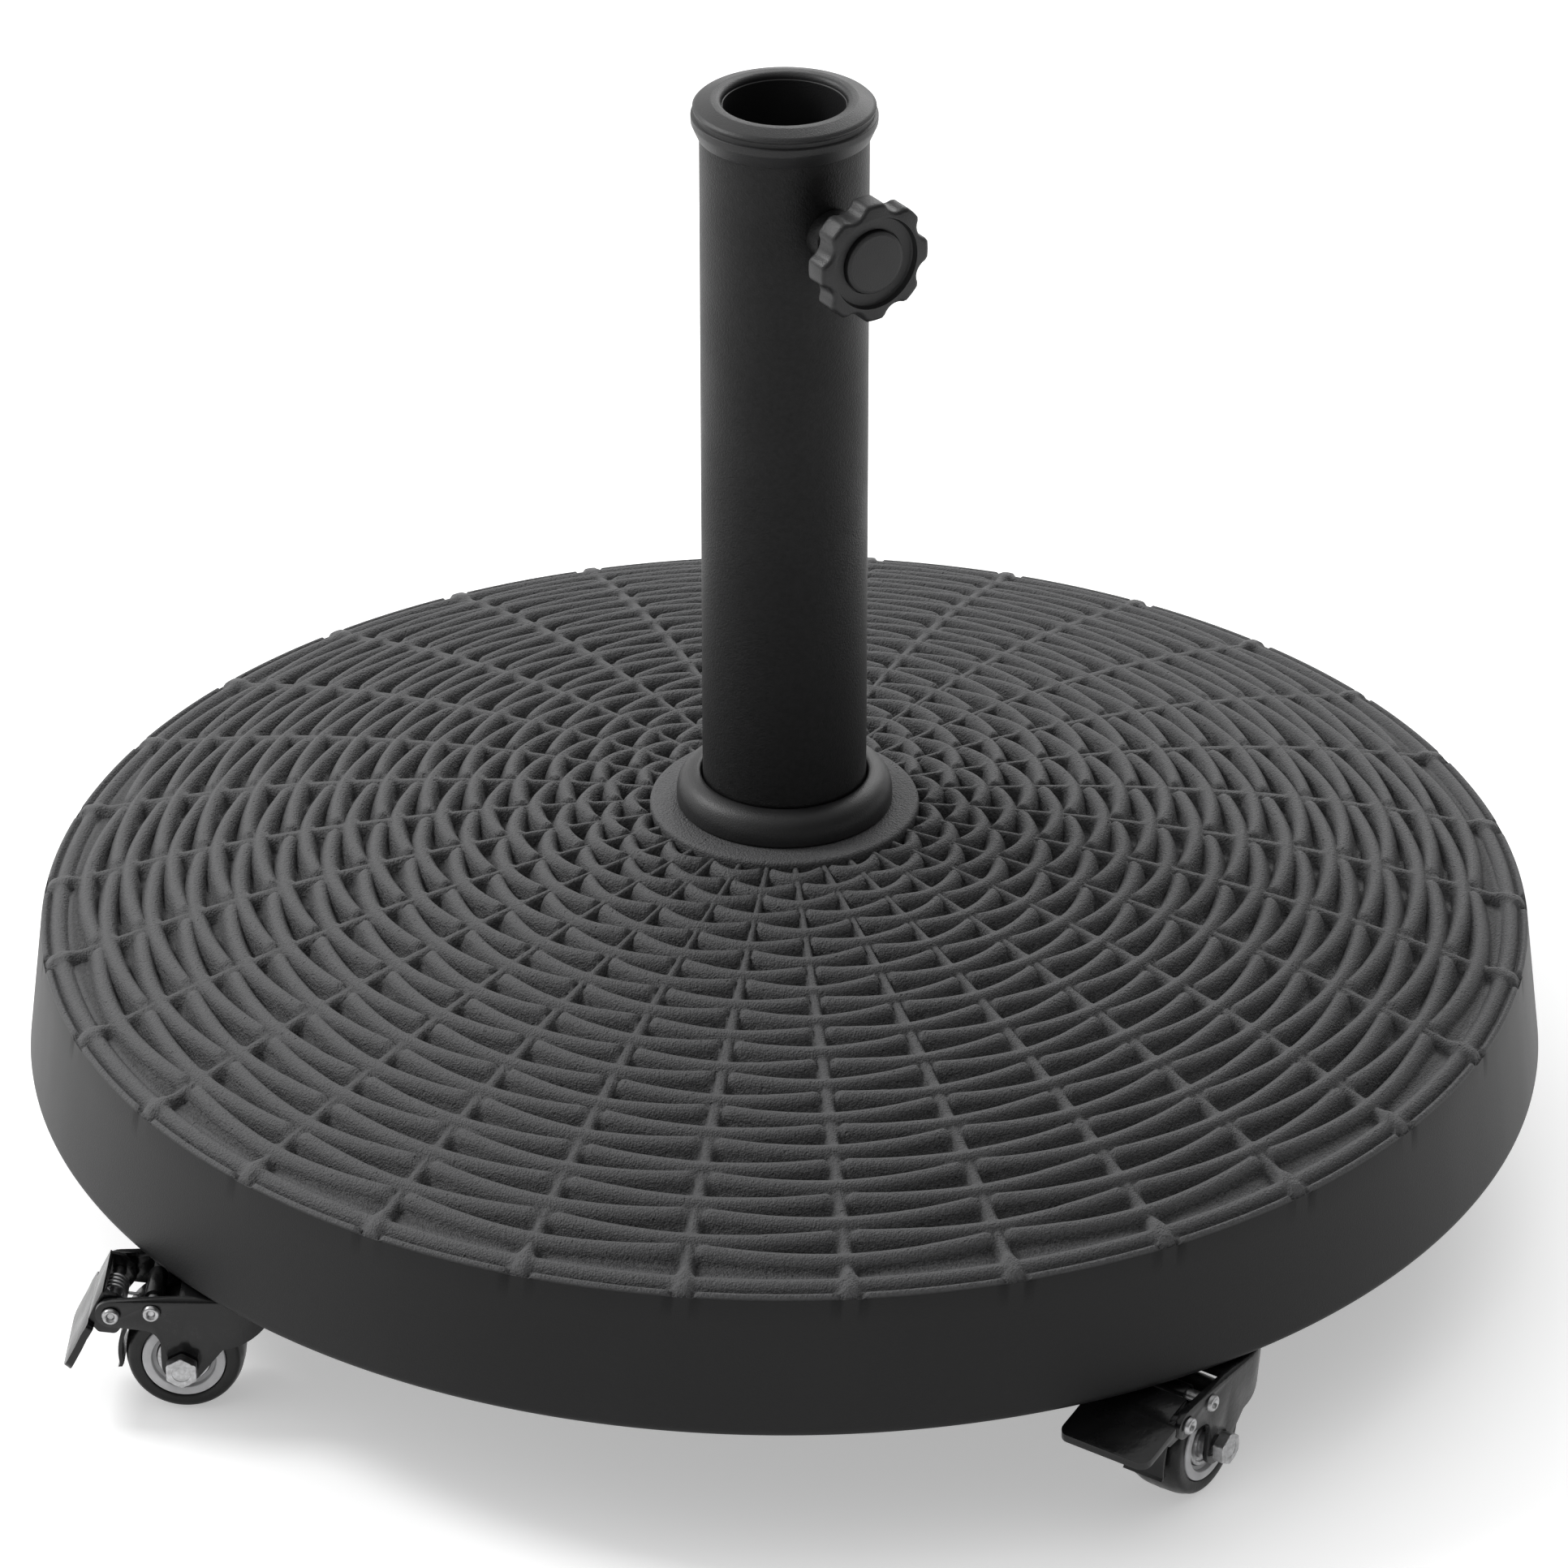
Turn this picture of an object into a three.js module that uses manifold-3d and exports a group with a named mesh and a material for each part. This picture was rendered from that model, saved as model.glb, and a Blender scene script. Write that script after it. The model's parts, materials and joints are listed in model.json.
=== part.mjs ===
// Rolling parasol base: a heavy domed disc on four braked swivel castors, with a pole tube, a reducer
// cap in its mouth and a knob that clamps the parasol pole.
// Millimetres, +Z up. The origin is on the ground under the middle of the disc.
import * as THREE from 'three';
import { mergeVertices } from 'three/addons/utils/BufferGeometryUtils.js';
import Module from 'manifold-3d';

const wasm = await Module();
wasm.setup();

// ---- driving dimensions ----
const GAP = 0.3;                       // clearance between pieces that touch

const RIM_Z = 100.3;                   // plane of the stake ends round the disc's top edge
const DISC_RIM_R = 257;
const DISC_FOOT_R = 263.9;
const DISC_BOTTOM_Z = 49.4;
const DOME_RISE = 37.4;
const DOME_CURVE = 5.06e-4;            // the dome falls by this times the radius squared
const HUB_R = 46.5;
const HUB_Z = RIM_Z + 37.6;

const TUBE_R = 28.2;
const TUBE_WALL = 1.5;
const TUBE_FOOT_Z = 68.3;
const CAP_TOP_Z = 400;
const TUBE_TOP_Z = CAP_TOP_Z - 8.2;
const TUBE_BORE_R = TUBE_R - TUBE_WALL;

const END_PLATE_T = 6;
const BOLT_R = 6;                      // centre bolt, M12
const BOLT_FLATS = 19;
const BOLT_HEAD_T = 7.3;
const WASHER_R = 20;
const WASHER_T = 2.4;
const RECESS_R = 24;
const RECESS_Z = 60.5;

const COLLAR_R = 37.2;
const COLLAR_H = 11;

const CAP_R = 31;
const CAP_HOLE_R = 20.35;
const CAP_SLEEVE_DEPTH = 26;
const CAP_SKIRT = 12.4;                // the cap reaches this far down outside the tube

const KNOB_Z = RIM_Z + 261.3;
const KNOB_TURN = THREE.MathUtils.degToRad(-49.7);  // compass direction of the knob's axis
const KNOB_FACE = 55;                  // tube axis to the knob's face
const KNOB_R = 20.8;
const KNOB_LOBES = 8;
const KNOB_NOTCH_R = 5.2;
const KNOB_RIM_T = 9.7;
const KNOB_NOTCH_DEPTH = 2.7;
const KNOB_HUB_R = 10;
const KNOB_HUB_BACK = KNOB_FACE - KNOB_RIM_T - 2.8;
const KNOB_CAP_R = 10.9;
const KNOB_SINK_R = 15.8;              // the sunk ring round the knob's cap
const STUD_R = 4;                      // clamp screw, M8
const STUD_TIP = TUBE_R - TUBE_WALL + 0.3;
const STUD_HEAD_R = 6.6;
const STUD_HEAD = [KNOB_FACE - 6, KNOB_FACE - 3.2];
const BOSS_R = 9;
const BOSS_END = 33.6;

const CASTOR_X = 162.7;                // swivel axes stand on a rectangle, turned a little
const CASTOR_Y = 184.7;
const PATTERN_TURN = THREE.MathUtils.degToRad(0.5);
const TRAIL = 16;                      // swivel axis to wheel axle
const WHEEL_R = 20;
const TYRE_HALF = 10;
const TYRE_SIDES = 20;                 // the tyre stands on one of its flats
const RIM_R = 14;
const AXLE_R = 3;
const FORK_HALF = 16.6;                // half width over the fork's crown
const FORK_T = 2.1;
const FORK_TOP = 28;                   // crown above the axle
const FORK_TAPER = 0.0058;             // the cheeks close in by this much for each mm down
const FORK_FOOT_R = 6.9;               // round end of the fork's arm, about the axle
const EAR_R = 5.3;                     // round end of the fork's ear, about the pedal's pin
const AXLE_FLATS = 10;
const AXLE_HEAD = [14.9, 18.7];        // from the wheel's middle plane
const BEARING_R = 9;
const PEDAL_PIN = [-22.8, 21];         // along and above, from the axle
const SHOE_PIN = [-9.3, 22.4];
const PIN_R = 2;
const PIN_HEAD_R = 3;
const PIN_HEAD = [16.5, 17.9];
const PEDAL_HALF = 12.9;               // half width between the ears
const PEDAL_T = 1.6;
const WING_HALF = 17;                  // half width beyond the ears
const SHOE_HALF = 7.5;
const SHOE_R = 22.3;
const SHOE_T = 1.4;
const PEDAL_DOWN = THREE.MathUtils.degToRad(49);
const SHOE_CLOSED = THREE.MathUtils.degToRad(4);
const STEM_R = 4;
const STEM_FLATS = 15;
const STEM_TOP = 58;                   // top of the thread, above the axle
const THREAD_R = 5;                    // M10
const RACE_R = 13;
const POCKET_R = 15;                   // pocket over each castor, under the disc
const POCKET_DEPTH = 6.6;
const TURN_LOW = DISC_BOTTOM_Z - WHEEL_R;          // the disc's underside, above the axle

const CASTORS = [
  // name, side, end, direction of travel in degrees, brake pressed down
  ['front_left', -1, -1, 5.4, true],
  ['front_right', 1, -1, 61.9, false],
  ['back_right', 1, 1, 200, false],
  ['back_left', -1, 1, 295, false],
];

// ---- materials ----
const material = (color, roughness, metalness) =>
  new THREE.MeshStandardMaterial({ color, roughness, metalness });
const CAST = material(0x2e2e30, 0.8, 0.0);
const POWDER = material(0x232325, 0.6, 0.2);
const BLACK_PLASTIC = material(0x1d1d1f, 0.45, 0.0);
const BLACK_STEEL = material(0x161617, 0.3, 0.4);
const ZINC = material(0xb4b6b8, 0.35, 0.9);
const GREY_PLASTIC = material(0xa9aaac, 0.5, 0.0);
const RUBBER = material(0x19191a, 0.4, 0.0);

// ---- geometry helpers ----
const root = new THREE.Group();

function add(group, name, geometry, look) {
  const mesh = new THREE.Mesh(geometry, look);
  mesh.name = name;
  group.add(mesh);
  return mesh;
}

function solid(geometry) {
  const bare = geometry.clone();
  bare.deleteAttribute('normal');
  bare.deleteAttribute('uv');
  const merged = mergeVertices(bare, 1e-4);
  return new wasm.Manifold(new wasm.Mesh({
    numProp: 3,
    vertProperties: new Float32Array(merged.attributes.position.array),
    triVerts: new Uint32Array(merged.index.array),
  }));
}

function geometryOf(manifold) {
  const mesh = manifold.getMesh();
  const geometry = new THREE.BufferGeometry();
  geometry.setAttribute('position', new THREE.BufferAttribute(mesh.vertProperties, 3));
  geometry.setIndex(new THREE.BufferAttribute(mesh.triVerts, 1));
  return geometry;
}

function cut(body, ...tools) {
  return tools.reduce((left, tool) => left.subtract(solid(tool)), body);
}

// A turned piece about +Z from [radius, height] pairs. A ring's profile is closed on itself.
function turned(profile, segments, ring = false) {
  const points = profile.map(([r, z]) => new THREE.Vector2(r, z));
  if (ring) points.push(points[0].clone());
  const area = THREE.ShapeUtils.area(points);
  if (area < 0) points.reverse();
  return new THREE.LatheGeometry(points, segments).rotateX(Math.PI / 2);
}

// A cylinder about +Z between two heights.
function rod(radius, low, high, segments) {
  return turned([[0, low], [radius, low], [radius, high], [0, high]], segments);
}

function hexagon(acrossFlats, low, high) {
  return rod(acrossFlats / 2 / Math.cos(Math.PI / 6), low, high, 6);
}

// Turns a piece made about +Z so that its axis lies along Y, with its high end towards -Y.
function alongY(geometry) {
  return geometry.rotateX(Math.PI / 2);
}

// A side outline in (along, up) pushed out evenly to both sides of the middle plane.
function sideways(shape, halfWidth, curveSegments = 6) {
  const options = { depth: 2 * halfWidth, bevelEnabled: false, curveSegments };
  return new THREE.ExtrudeGeometry(shape, options).rotateX(Math.PI / 2).translate(0, halfWidth, 0);
}

function outline(points) {
  return new THREE.Shape(points.map(([x, y]) => new THREE.Vector2(x, y)));
}

function domeZ(r) {
  return RIM_Z + DOME_RISE - DOME_CURVE * r * r;
}

// ---- disc ----
function castorPlace(side, end) {
  const place = new THREE.Vector2(side * CASTOR_X, end * CASTOR_Y);
  return place.rotateAround(new THREE.Vector2(), PATTERN_TURN).toArray();
}

function castorPlaces() {
  return CASTORS.map(([, side, end]) => castorPlace(side, end));
}

function baseDisc() {
  const dome = [];
  for (let i = 0; i <= 5; i++) {
    const r = THREE.MathUtils.lerp(DISC_RIM_R - 2, HUB_R, i / 5);
    dome.push([r, domeZ(r)]);
  }
  const profile = [
    [BOLT_R + 0.5, RECESS_Z],
    [RECESS_R, RECESS_Z],
    [RECESS_R, DISC_BOTTOM_Z],
    [DISC_FOOT_R - 1.5, DISC_BOTTOM_Z],
    [DISC_FOOT_R, DISC_BOTTOM_Z + 1.5],
    [DISC_RIM_R + 1, RIM_Z - 2.8],
    [DISC_RIM_R, RIM_Z],
    ...dome,
    [HUB_R, HUB_Z],
    [TUBE_R + 0.6, HUB_Z],
    [TUBE_R + 0.6, TUBE_FOOT_Z - GAP],
    [BOLT_R + 0.5, TUBE_FOOT_Z - GAP],
  ];
  const pockets = castorPlaces().flatMap(([x, y]) => [
    rod(POCKET_R, DISC_BOTTOM_Z - 2, DISC_BOTTOM_Z + POCKET_DEPTH, 16).translate(x, y, 0),
    rod(THREAD_R + 0.4, DISC_BOTTOM_Z, WHEEL_R + STEM_TOP + 1, 12).translate(x, y, 0),
  ]);
  return geometryOf(cut(solid(turned(profile, 48, true)), ...pockets));
}

add(root, 'base_disc', baseDisc(), CAST);

// ---- pole tube and what holds it down ----
function knobPlace(geometry) {
  return geometry.rotateY(Math.PI / 2).rotateZ(KNOB_TURN).translate(0, 0, KNOB_Z);
}

function poleTube() {
  const profile = [
    [TUBE_BORE_R, TUBE_FOOT_Z],
    [TUBE_R, TUBE_FOOT_Z],
    [TUBE_R, TUBE_TOP_Z],
    [TUBE_BORE_R, TUBE_TOP_Z],
  ];
  const screwHole = knobPlace(rod(STUD_R + 0.5, 15, 40, 16));
  return geometryOf(cut(solid(turned(profile, 40, true)), screwHole));
}

function ring(inner, outer, low, high, segments) {
  return turned([[inner, low], [outer, low], [outer, high], [inner, high]], segments, true);
}

function centreBolt() {
  const seat = RECESS_Z - WASHER_T - 2 * GAP;
  const head = solid(hexagon(BOLT_FLATS, seat - BOLT_HEAD_T, seat));
  const shank = solid(rod(BOLT_R, seat - 1, TUBE_FOOT_Z + END_PLATE_T + 8, 16));
  return geometryOf(head.add(shank));
}

add(root, 'pole_tube', poleTube(), POWDER);
add(root, 'tube_end_plate', ring(BOLT_R + 0.4, TUBE_BORE_R - GAP, TUBE_FOOT_Z,
  TUBE_FOOT_Z + END_PLATE_T, 20), ZINC);
add(root, 'centre_bolt', centreBolt(), ZINC);
add(root, 'centre_washer', ring(BOLT_R + 0.4, WASHER_R, RECESS_Z - WASHER_T - GAP, RECESS_Z - GAP,
  20), ZINC);

// ---- collar and cap ----
function baseCollar() {
  const low = HUB_Z + GAP;
  return turned([
    [TUBE_R + 0.5, low],
    [COLLAR_R, low],
    [COLLAR_R, low + 0.25 * COLLAR_H],
    [COLLAR_R - 0.9, low + 0.52 * COLLAR_H],
    [COLLAR_R - 2.9, low + 0.77 * COLLAR_H],
    [COLLAR_R - 5.6, low + 0.94 * COLLAR_H],
    [TUBE_R + 1.3, low + COLLAR_H],
    [TUBE_R + 0.5, low + 0.95 * COLLAR_H],
  ], 32, true);
}

function topCap() {
  const top = CAP_TOP_Z;
  return turned([
    [CAP_HOLE_R, top - CAP_SLEEVE_DEPTH],
    [CAP_HOLE_R, top - 1.6],
    [CAP_HOLE_R + 0.5, top - 0.5],
    [CAP_HOLE_R + 1.5, top],
    [CAP_HOLE_R + 4.2, top],
    [CAP_R - 3.5, top - 0.7],
    [CAP_R - 1.2, top - 1.8],
    [CAP_R - 0.6, top - 2.6],
    [CAP_R - 0.6, top - 4.9],
    [CAP_R, top - 5.3],
    [CAP_R, top - 7],
    [CAP_R - 1, top - 10],
    [TUBE_R + 0.7, top - CAP_SKIRT],
    [TUBE_R + GAP, top - CAP_SKIRT],
    [TUBE_R + GAP, TUBE_TOP_Z + GAP],
    [TUBE_BORE_R - GAP, TUBE_TOP_Z + GAP],
    [TUBE_BORE_R - GAP, top - CAP_SLEEVE_DEPTH],
  ], 32, true);
}

add(root, 'base_collar', baseCollar(), BLACK_PLASTIC);
add(root, 'top_cap', topCap(), BLACK_PLASTIC);

// ---- clamp knob, made along +Z from the tube's axis and then laid over ----
const knob = new THREE.Group();
knob.position.z = KNOB_Z;
knob.rotation.set(0, Math.PI / 2, KNOB_TURN, 'ZYX');
root.add(knob);

function clampBoss() {
  const tube = new THREE.CylinderGeometry(TUBE_R + GAP, TUBE_R + GAP, 60, 96).rotateZ(Math.PI / 2);
  const block = solid(rod(BOSS_R, TUBE_R - 4, BOSS_END, 24));
  return geometryOf(cut(block, tube, rod(STUD_R + GAP, 0, BOSS_END + 1, 16)));
}

function clampStud() {
  return turned([
    [0, STUD_TIP],
    [STUD_R - 0.8, STUD_TIP],
    [STUD_R, STUD_TIP + 0.8],
    [STUD_R, STUD_HEAD[0]],
    [STUD_HEAD_R, STUD_HEAD[0]],
    [STUD_HEAD_R, STUD_HEAD[1]],
    [0, STUD_HEAD[1]],
  ], 16);
}

// Round disc with one round notch between each pair of lobes.
function knobOutline() {
  const shape = new THREE.Shape();
  const centre = KNOB_R + KNOB_NOTCH_R - KNOB_NOTCH_DEPTH;
  const along = (centre * centre + KNOB_R * KNOB_R - KNOB_NOTCH_R * KNOB_NOTCH_R) / (2 * centre);
  const half = Math.acos(along / KNOB_R);
  const inner = Math.atan2(KNOB_R * Math.sin(half), centre - along);
  for (let i = 0; i < KNOB_LOBES; i++) {
    const mid = (i + 0.5) * 2 * Math.PI / KNOB_LOBES;
    const next = mid + 2 * Math.PI / KNOB_LOBES;
    const [x, y] = [centre * Math.cos(mid), centre * Math.sin(mid)];
    shape.absarc(x, y, KNOB_NOTCH_R, mid + Math.PI + inner, mid + Math.PI - inner, true);
    shape.absarc(0, 0, KNOB_R, mid + half, next - half, false);
  }
  shape.closePath();
  return shape;
}

function knobGrip() {
  const options = { depth: KNOB_RIM_T, bevelEnabled: false, curveSegments: 4 };
  const rim = new THREE.ExtrudeGeometry(knobOutline(), options);
  rim.translate(0, 0, KNOB_FACE - KNOB_RIM_T);
  const hub = solid(rod(KNOB_HUB_R, KNOB_HUB_BACK, KNOB_FACE - KNOB_RIM_T + 1, 24));
  return geometryOf(cut(
    solid(rim).add(hub),
    rod(KNOB_SINK_R, KNOB_FACE - 1.4, KNOB_FACE + 1, 24),
    rod(KNOB_CAP_R + 0.4, KNOB_FACE - 2, KNOB_FACE, 24),
    rod(STUD_HEAD_R + GAP, STUD_HEAD[0] - GAP, KNOB_FACE, 16),
    rod(STUD_R + GAP, KNOB_HUB_BACK - 1, KNOB_FACE, 16),
  ));
}

function knobCap() {
  return turned([
    [0, KNOB_FACE - 1.7],
    [KNOB_CAP_R, KNOB_FACE - 1.7],
    [KNOB_CAP_R, KNOB_FACE - 0.9],
    [KNOB_CAP_R - 0.8, KNOB_FACE - 0.2],
    [0, KNOB_FACE],
  ], 24);
}

add(knob, 'clamp_boss', clampBoss(), POWDER);
add(knob, 'clamp_stud', clampStud(), ZINC);
add(knob, 'knob_grip', knobGrip(), BLACK_PLASTIC);
add(knob, 'knob_cap', knobCap(), BLACK_PLASTIC);

// ---- castors: +X is the direction of travel, the origin is the wheel's centre ----

// The stem's head is under the fork's crown, and its hexagon bears on the pocket's ceiling.
function stem() {
  const crownFoot = FORK_TOP - FORK_T - GAP;
  const ceiling = TURN_LOW + POCKET_DEPTH;
  const shaft = turned([
    [0, crownFoot - 2.2],
    [STEM_R + 2.8, crownFoot - 2.2],
    [STEM_R + 2.8, crownFoot],
    [STEM_R, crownFoot],
    [STEM_R, ceiling - 1],
    [THREAD_R, ceiling - 1],
    [THREAD_R, STEM_TOP],
    [0, STEM_TOP],
  ], 12);
  const hex = hexagon(STEM_FLATS, TURN_LOW + 2.9, ceiling - GAP);
  return geometryOf(solid(shaft).add(solid(hex)));
}

function race() {
  return ring(STEM_R + 0.4, RACE_R, FORK_TOP + GAP, TURN_LOW + 2.6, 16);
}

// Cheeks and crown seen from above: straight sides and a round front, open at the back.
function forkPlan(half) {
  const shape = new THREE.Shape();
  shape.moveTo(-32, -half);
  shape.lineTo(TRAIL, -half);
  shape.absarc(TRAIL, 0, half, -Math.PI / 2, Math.PI / 2, false);
  shape.lineTo(-32, half);
  shape.closePath();
  return shape;
}

// The cheeks seen from the side: an arm down to the axle and an ear back to the pedal's pin.
function forkSide() {
  const shape = new THREE.Shape();
  shape.moveTo(TRAIL + 20, FORK_TOP + 1);
  shape.lineTo(TRAIL + 20, 22);
  shape.quadraticCurveTo(TRAIL + 11, 10, 13.7, 7);
  shape.absarc(0, 0, FORK_FOOT_R, -0.6, -Math.PI, true);
  shape.lineTo(-FORK_FOOT_R, 9.5);
  shape.quadraticCurveTo(-8.2, 14.6, -13, 14.8);
  shape.absarc(PEDAL_PIN[0], PEDAL_PIN[1], EAR_R, -1.4, -4.7, true);
  shape.lineTo(2, FORK_TOP);
  shape.lineTo(2, FORK_TOP + 1);
  shape.closePath();
  return shape;
}

function fork() {
  const outer = new THREE.ExtrudeGeometry(forkPlan(FORK_HALF),
    { depth: FORK_TOP + 8, bevelEnabled: false, curveSegments: 6 }).translate(0, 0, -8);
  const inner = new THREE.ExtrudeGeometry(forkPlan(FORK_HALF - FORK_T),
    { depth: FORK_TOP - FORK_T + 9, bevelEnabled: false, curveSegments: 6 }).translate(-2, 0, -9);
  const opening = new THREE.BoxGeometry(32, 2 * (FORK_HALF - FORK_T), 10);
  const body = cut(
    solid(outer).intersect(solid(sideways(forkSide(), 20, 4))),
    inner,
    opening.translate(-16, 0, FORK_TOP),
    rod(STEM_R + 0.4, FORK_TOP - 5, FORK_TOP + 2, 12).translate(TRAIL, 0, 0),
    alongY(rod(AXLE_R + GAP, -20, 20, 12)),
    pinHole(PEDAL_PIN),
    pinHole(SHOE_PIN),
  );
  const geometry = geometryOf(body);
  const position = geometry.attributes.position;
  for (let i = 0; i < position.count; i++) {
    const drop = FORK_TOP - position.getZ(i);
    position.setY(i, position.getY(i) * (1 - FORK_TAPER * drop));
  }
  return geometry;
}

function tyre() {
  const half = TYRE_HALF;
  const flat = 1 / Math.cos(Math.PI / TYRE_SIDES);
  const profile = [
    [RIM_R + GAP, -half],
    [WHEEL_R - 2.8, -half],
    [WHEEL_R - 0.9, -half + 1.2],
    [WHEEL_R * flat, -half + 4],
    [WHEEL_R * flat, half - 4],
    [WHEEL_R - 0.9, half - 1.2],
    [WHEEL_R - 2.8, half],
    [RIM_R + GAP, half],
  ];
  return alongY(turned(profile, TYRE_SIDES, true).rotateZ(Math.PI / TYRE_SIDES));
}

function wheelRim() {
  const half = TYRE_HALF + 0.2;
  const profile = [
    [BEARING_R + GAP, -half + 1.6],
    [BEARING_R + 1.6, -half],
    [RIM_R - 0.1, -half],
    [RIM_R - 0.1, half],
    [BEARING_R + 1.6, half],
    [BEARING_R + GAP, half - 1.6],
  ];
  return alongY(turned(profile, TYRE_SIDES, true));
}

function bearing() {
  const half = TYRE_HALF - 1;
  const sleeve = half + 2.3;
  const profile = [
    [AXLE_R + GAP, -sleeve],
    [AXLE_R + 2, -sleeve],
    [AXLE_R + 2, -half],
    [BEARING_R, -half],
    [BEARING_R, half],
    [AXLE_R + 2, half],
    [AXLE_R + 2, sleeve],
    [AXLE_R + GAP, sleeve],
  ];
  return alongY(turned(profile, 14, true));
}

function axleBolt() {
  const head = solid(hexagon(AXLE_FLATS, ...AXLE_HEAD));
  const shank = solid(rod(AXLE_R, -AXLE_HEAD[1] - 1.8, AXLE_HEAD[0] + 0.5, 12));
  return alongY(geometryOf(head.add(shank)));
}

function axleNut() {
  const nut = cut(solid(hexagon(AXLE_FLATS, ...AXLE_HEAD)), rod(AXLE_R + GAP, 10, 25, 12));
  return geometryOf(nut).rotateX(-Math.PI / 2);
}

function rivet() {
  const [seat, crown] = PIN_HEAD;
  const head = [[PIN_R, seat], [PIN_HEAD_R, seat], [PIN_HEAD_R, crown - 0.6], [0, crown]];
  const farHead = head.map(([r, z]) => [r, -z]).reverse();
  return alongY(turned([...farHead, ...head], 8));
}

function pinHole([x, z]) {
  return alongY(rod(PIN_R + GAP, -20, 20, 10)).translate(x, 0, z);
}

// Pedal at rest in its raised place: cheeks on the pin, and a wide plate beyond the fork's ears.
function pedal() {
  const [px, pz] = PEDAL_PIN;
  const cheek = outline([
    [px + 3.4, pz + 6.6],
    [px - 8.6, pz + 3.2],
    [px - 9.6, pz - 2],
    [px - 6.2, pz - 6.8],
    [px + 1.5, pz - 6.2],
    [px + 5.4, pz - 2.2],
    [px + 5.6, pz + 2.4],
  ]);
  const narrow = outline([
    [px + 3.6, pz + 6.9],
    [px - 9.4, pz + 3.2],
    [px - 9.8, pz + 3.2 - PEDAL_T],
    [px + 3.8, pz + 6.9 - PEDAL_T],
  ]);
  const wide = outline([
    [px - 7.7, pz + 3.7],
    [px - 17, pz + 1.4],
    [px - 26.6, pz - 1],
    [px - 26.2, pz - 1 - PEDAL_T],
    [px - 16.6, pz + 1.4 - PEDAL_T],
    [px - 7.9, pz + 3.7 - PEDAL_T],
  ]);
  const between = new THREE.BoxGeometry(60, 2 * (PEDAL_HALF - PEDAL_T), 60).translate(px, 0, pz);
  return cut(
    cut(solid(sideways(cheek, PEDAL_HALF)), between)
      .add(solid(sideways(narrow, PEDAL_HALF)))
      .add(solid(sideways(wide, WING_HALF))),
    pinHole(PEDAL_PIN),
  );
}

// Spring-steel tongue hung on the second pin, curving down behind the tyre.
function shoe() {
  const [px, pz] = SHOE_PIN;
  const shape = new THREE.Shape();
  const [start, end] = [THREE.MathUtils.degToRad(107), THREE.MathUtils.degToRad(187)];
  shape.absarc(0, 0, SHOE_R, start, end, false);
  shape.lineTo(-SHOE_R - 0.6, -7);
  shape.lineTo(-SHOE_R - 0.6 - SHOE_T, -7);
  shape.absarc(0, 0, SHOE_R + SHOE_T, end, start, true);
  shape.closePath();
  const band = solid(sideways(shape, SHOE_HALF, 5));
  const eye = solid(alongY(rod(3.2, -SHOE_HALF, SHOE_HALF, 10)).translate(px, 0, pz));
  return cut(band.add(eye), pinHole(SHOE_PIN));
}

function turnedAbout(manifold, [x, z], angle) {
  return geometryOf(manifold).translate(-x, 0, -z).rotateY(-angle).translate(x, 0, z);
}

for (const [name, side, end, heading, braked] of CASTORS) {
  const swivel = new THREE.Group();
  swivel.position.set(...castorPlace(side, end), WHEEL_R);
  swivel.rotation.z = THREE.MathUtils.degToRad(heading);
  root.add(swivel);
  const wheel = new THREE.Group();
  wheel.position.x = -TRAIL;
  swivel.add(wheel);

  const piece = (part, geometry, look, group = wheel) => add(group, `${name}_${part}`, geometry, look);
  piece('stem', stem(), ZINC, swivel);
  piece('race', race(), BLACK_STEEL, swivel);
  piece('fork', fork(), BLACK_STEEL);
  piece('axle_bolt', axleBolt(), ZINC);
  piece('axle_nut', axleNut(), ZINC);
  piece('tyre', tyre(), RUBBER);
  piece('rim', wheelRim(), GREY_PLASTIC);
  piece('bearing', bearing(), ZINC);
  piece('pedal', turnedAbout(pedal(), PEDAL_PIN, braked ? PEDAL_DOWN : 0), BLACK_STEEL);
  piece('pedal_rivet', rivet().translate(PEDAL_PIN[0], 0, PEDAL_PIN[1]), ZINC);
  piece('brake_shoe', turnedAbout(shoe(), SHOE_PIN, braked ? SHOE_CLOSED : 0), BLACK_STEEL);
  piece('shoe_rivet', rivet().translate(SHOE_PIN[0], 0, SHOE_PIN[1]), ZINC);
}

export default root;
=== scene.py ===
"""Rolling parasol base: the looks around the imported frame.

Lengths below are in millimetres unless they say otherwise.
"""
import json
import math

import bmesh
import bpy
import numpy as np
from mathutils import Matrix, Vector


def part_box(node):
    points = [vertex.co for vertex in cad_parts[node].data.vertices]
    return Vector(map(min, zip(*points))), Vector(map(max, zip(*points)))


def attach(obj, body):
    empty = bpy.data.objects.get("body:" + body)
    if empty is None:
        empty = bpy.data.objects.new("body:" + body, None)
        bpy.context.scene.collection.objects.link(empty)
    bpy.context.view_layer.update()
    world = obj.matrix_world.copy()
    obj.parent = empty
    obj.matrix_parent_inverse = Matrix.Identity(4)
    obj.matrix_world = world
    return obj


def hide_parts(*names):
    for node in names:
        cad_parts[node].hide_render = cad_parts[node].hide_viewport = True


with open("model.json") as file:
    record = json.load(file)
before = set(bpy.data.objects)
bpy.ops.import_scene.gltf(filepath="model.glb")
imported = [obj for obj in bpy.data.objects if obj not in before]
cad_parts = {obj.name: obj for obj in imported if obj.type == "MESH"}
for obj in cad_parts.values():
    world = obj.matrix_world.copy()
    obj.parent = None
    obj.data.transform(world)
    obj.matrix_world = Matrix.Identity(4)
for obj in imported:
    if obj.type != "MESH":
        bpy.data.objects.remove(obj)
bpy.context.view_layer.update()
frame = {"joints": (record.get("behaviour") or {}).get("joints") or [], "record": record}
MM = 0.001


def mm_box(node):
    low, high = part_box(node)
    return low / MM, high / MM


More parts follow.
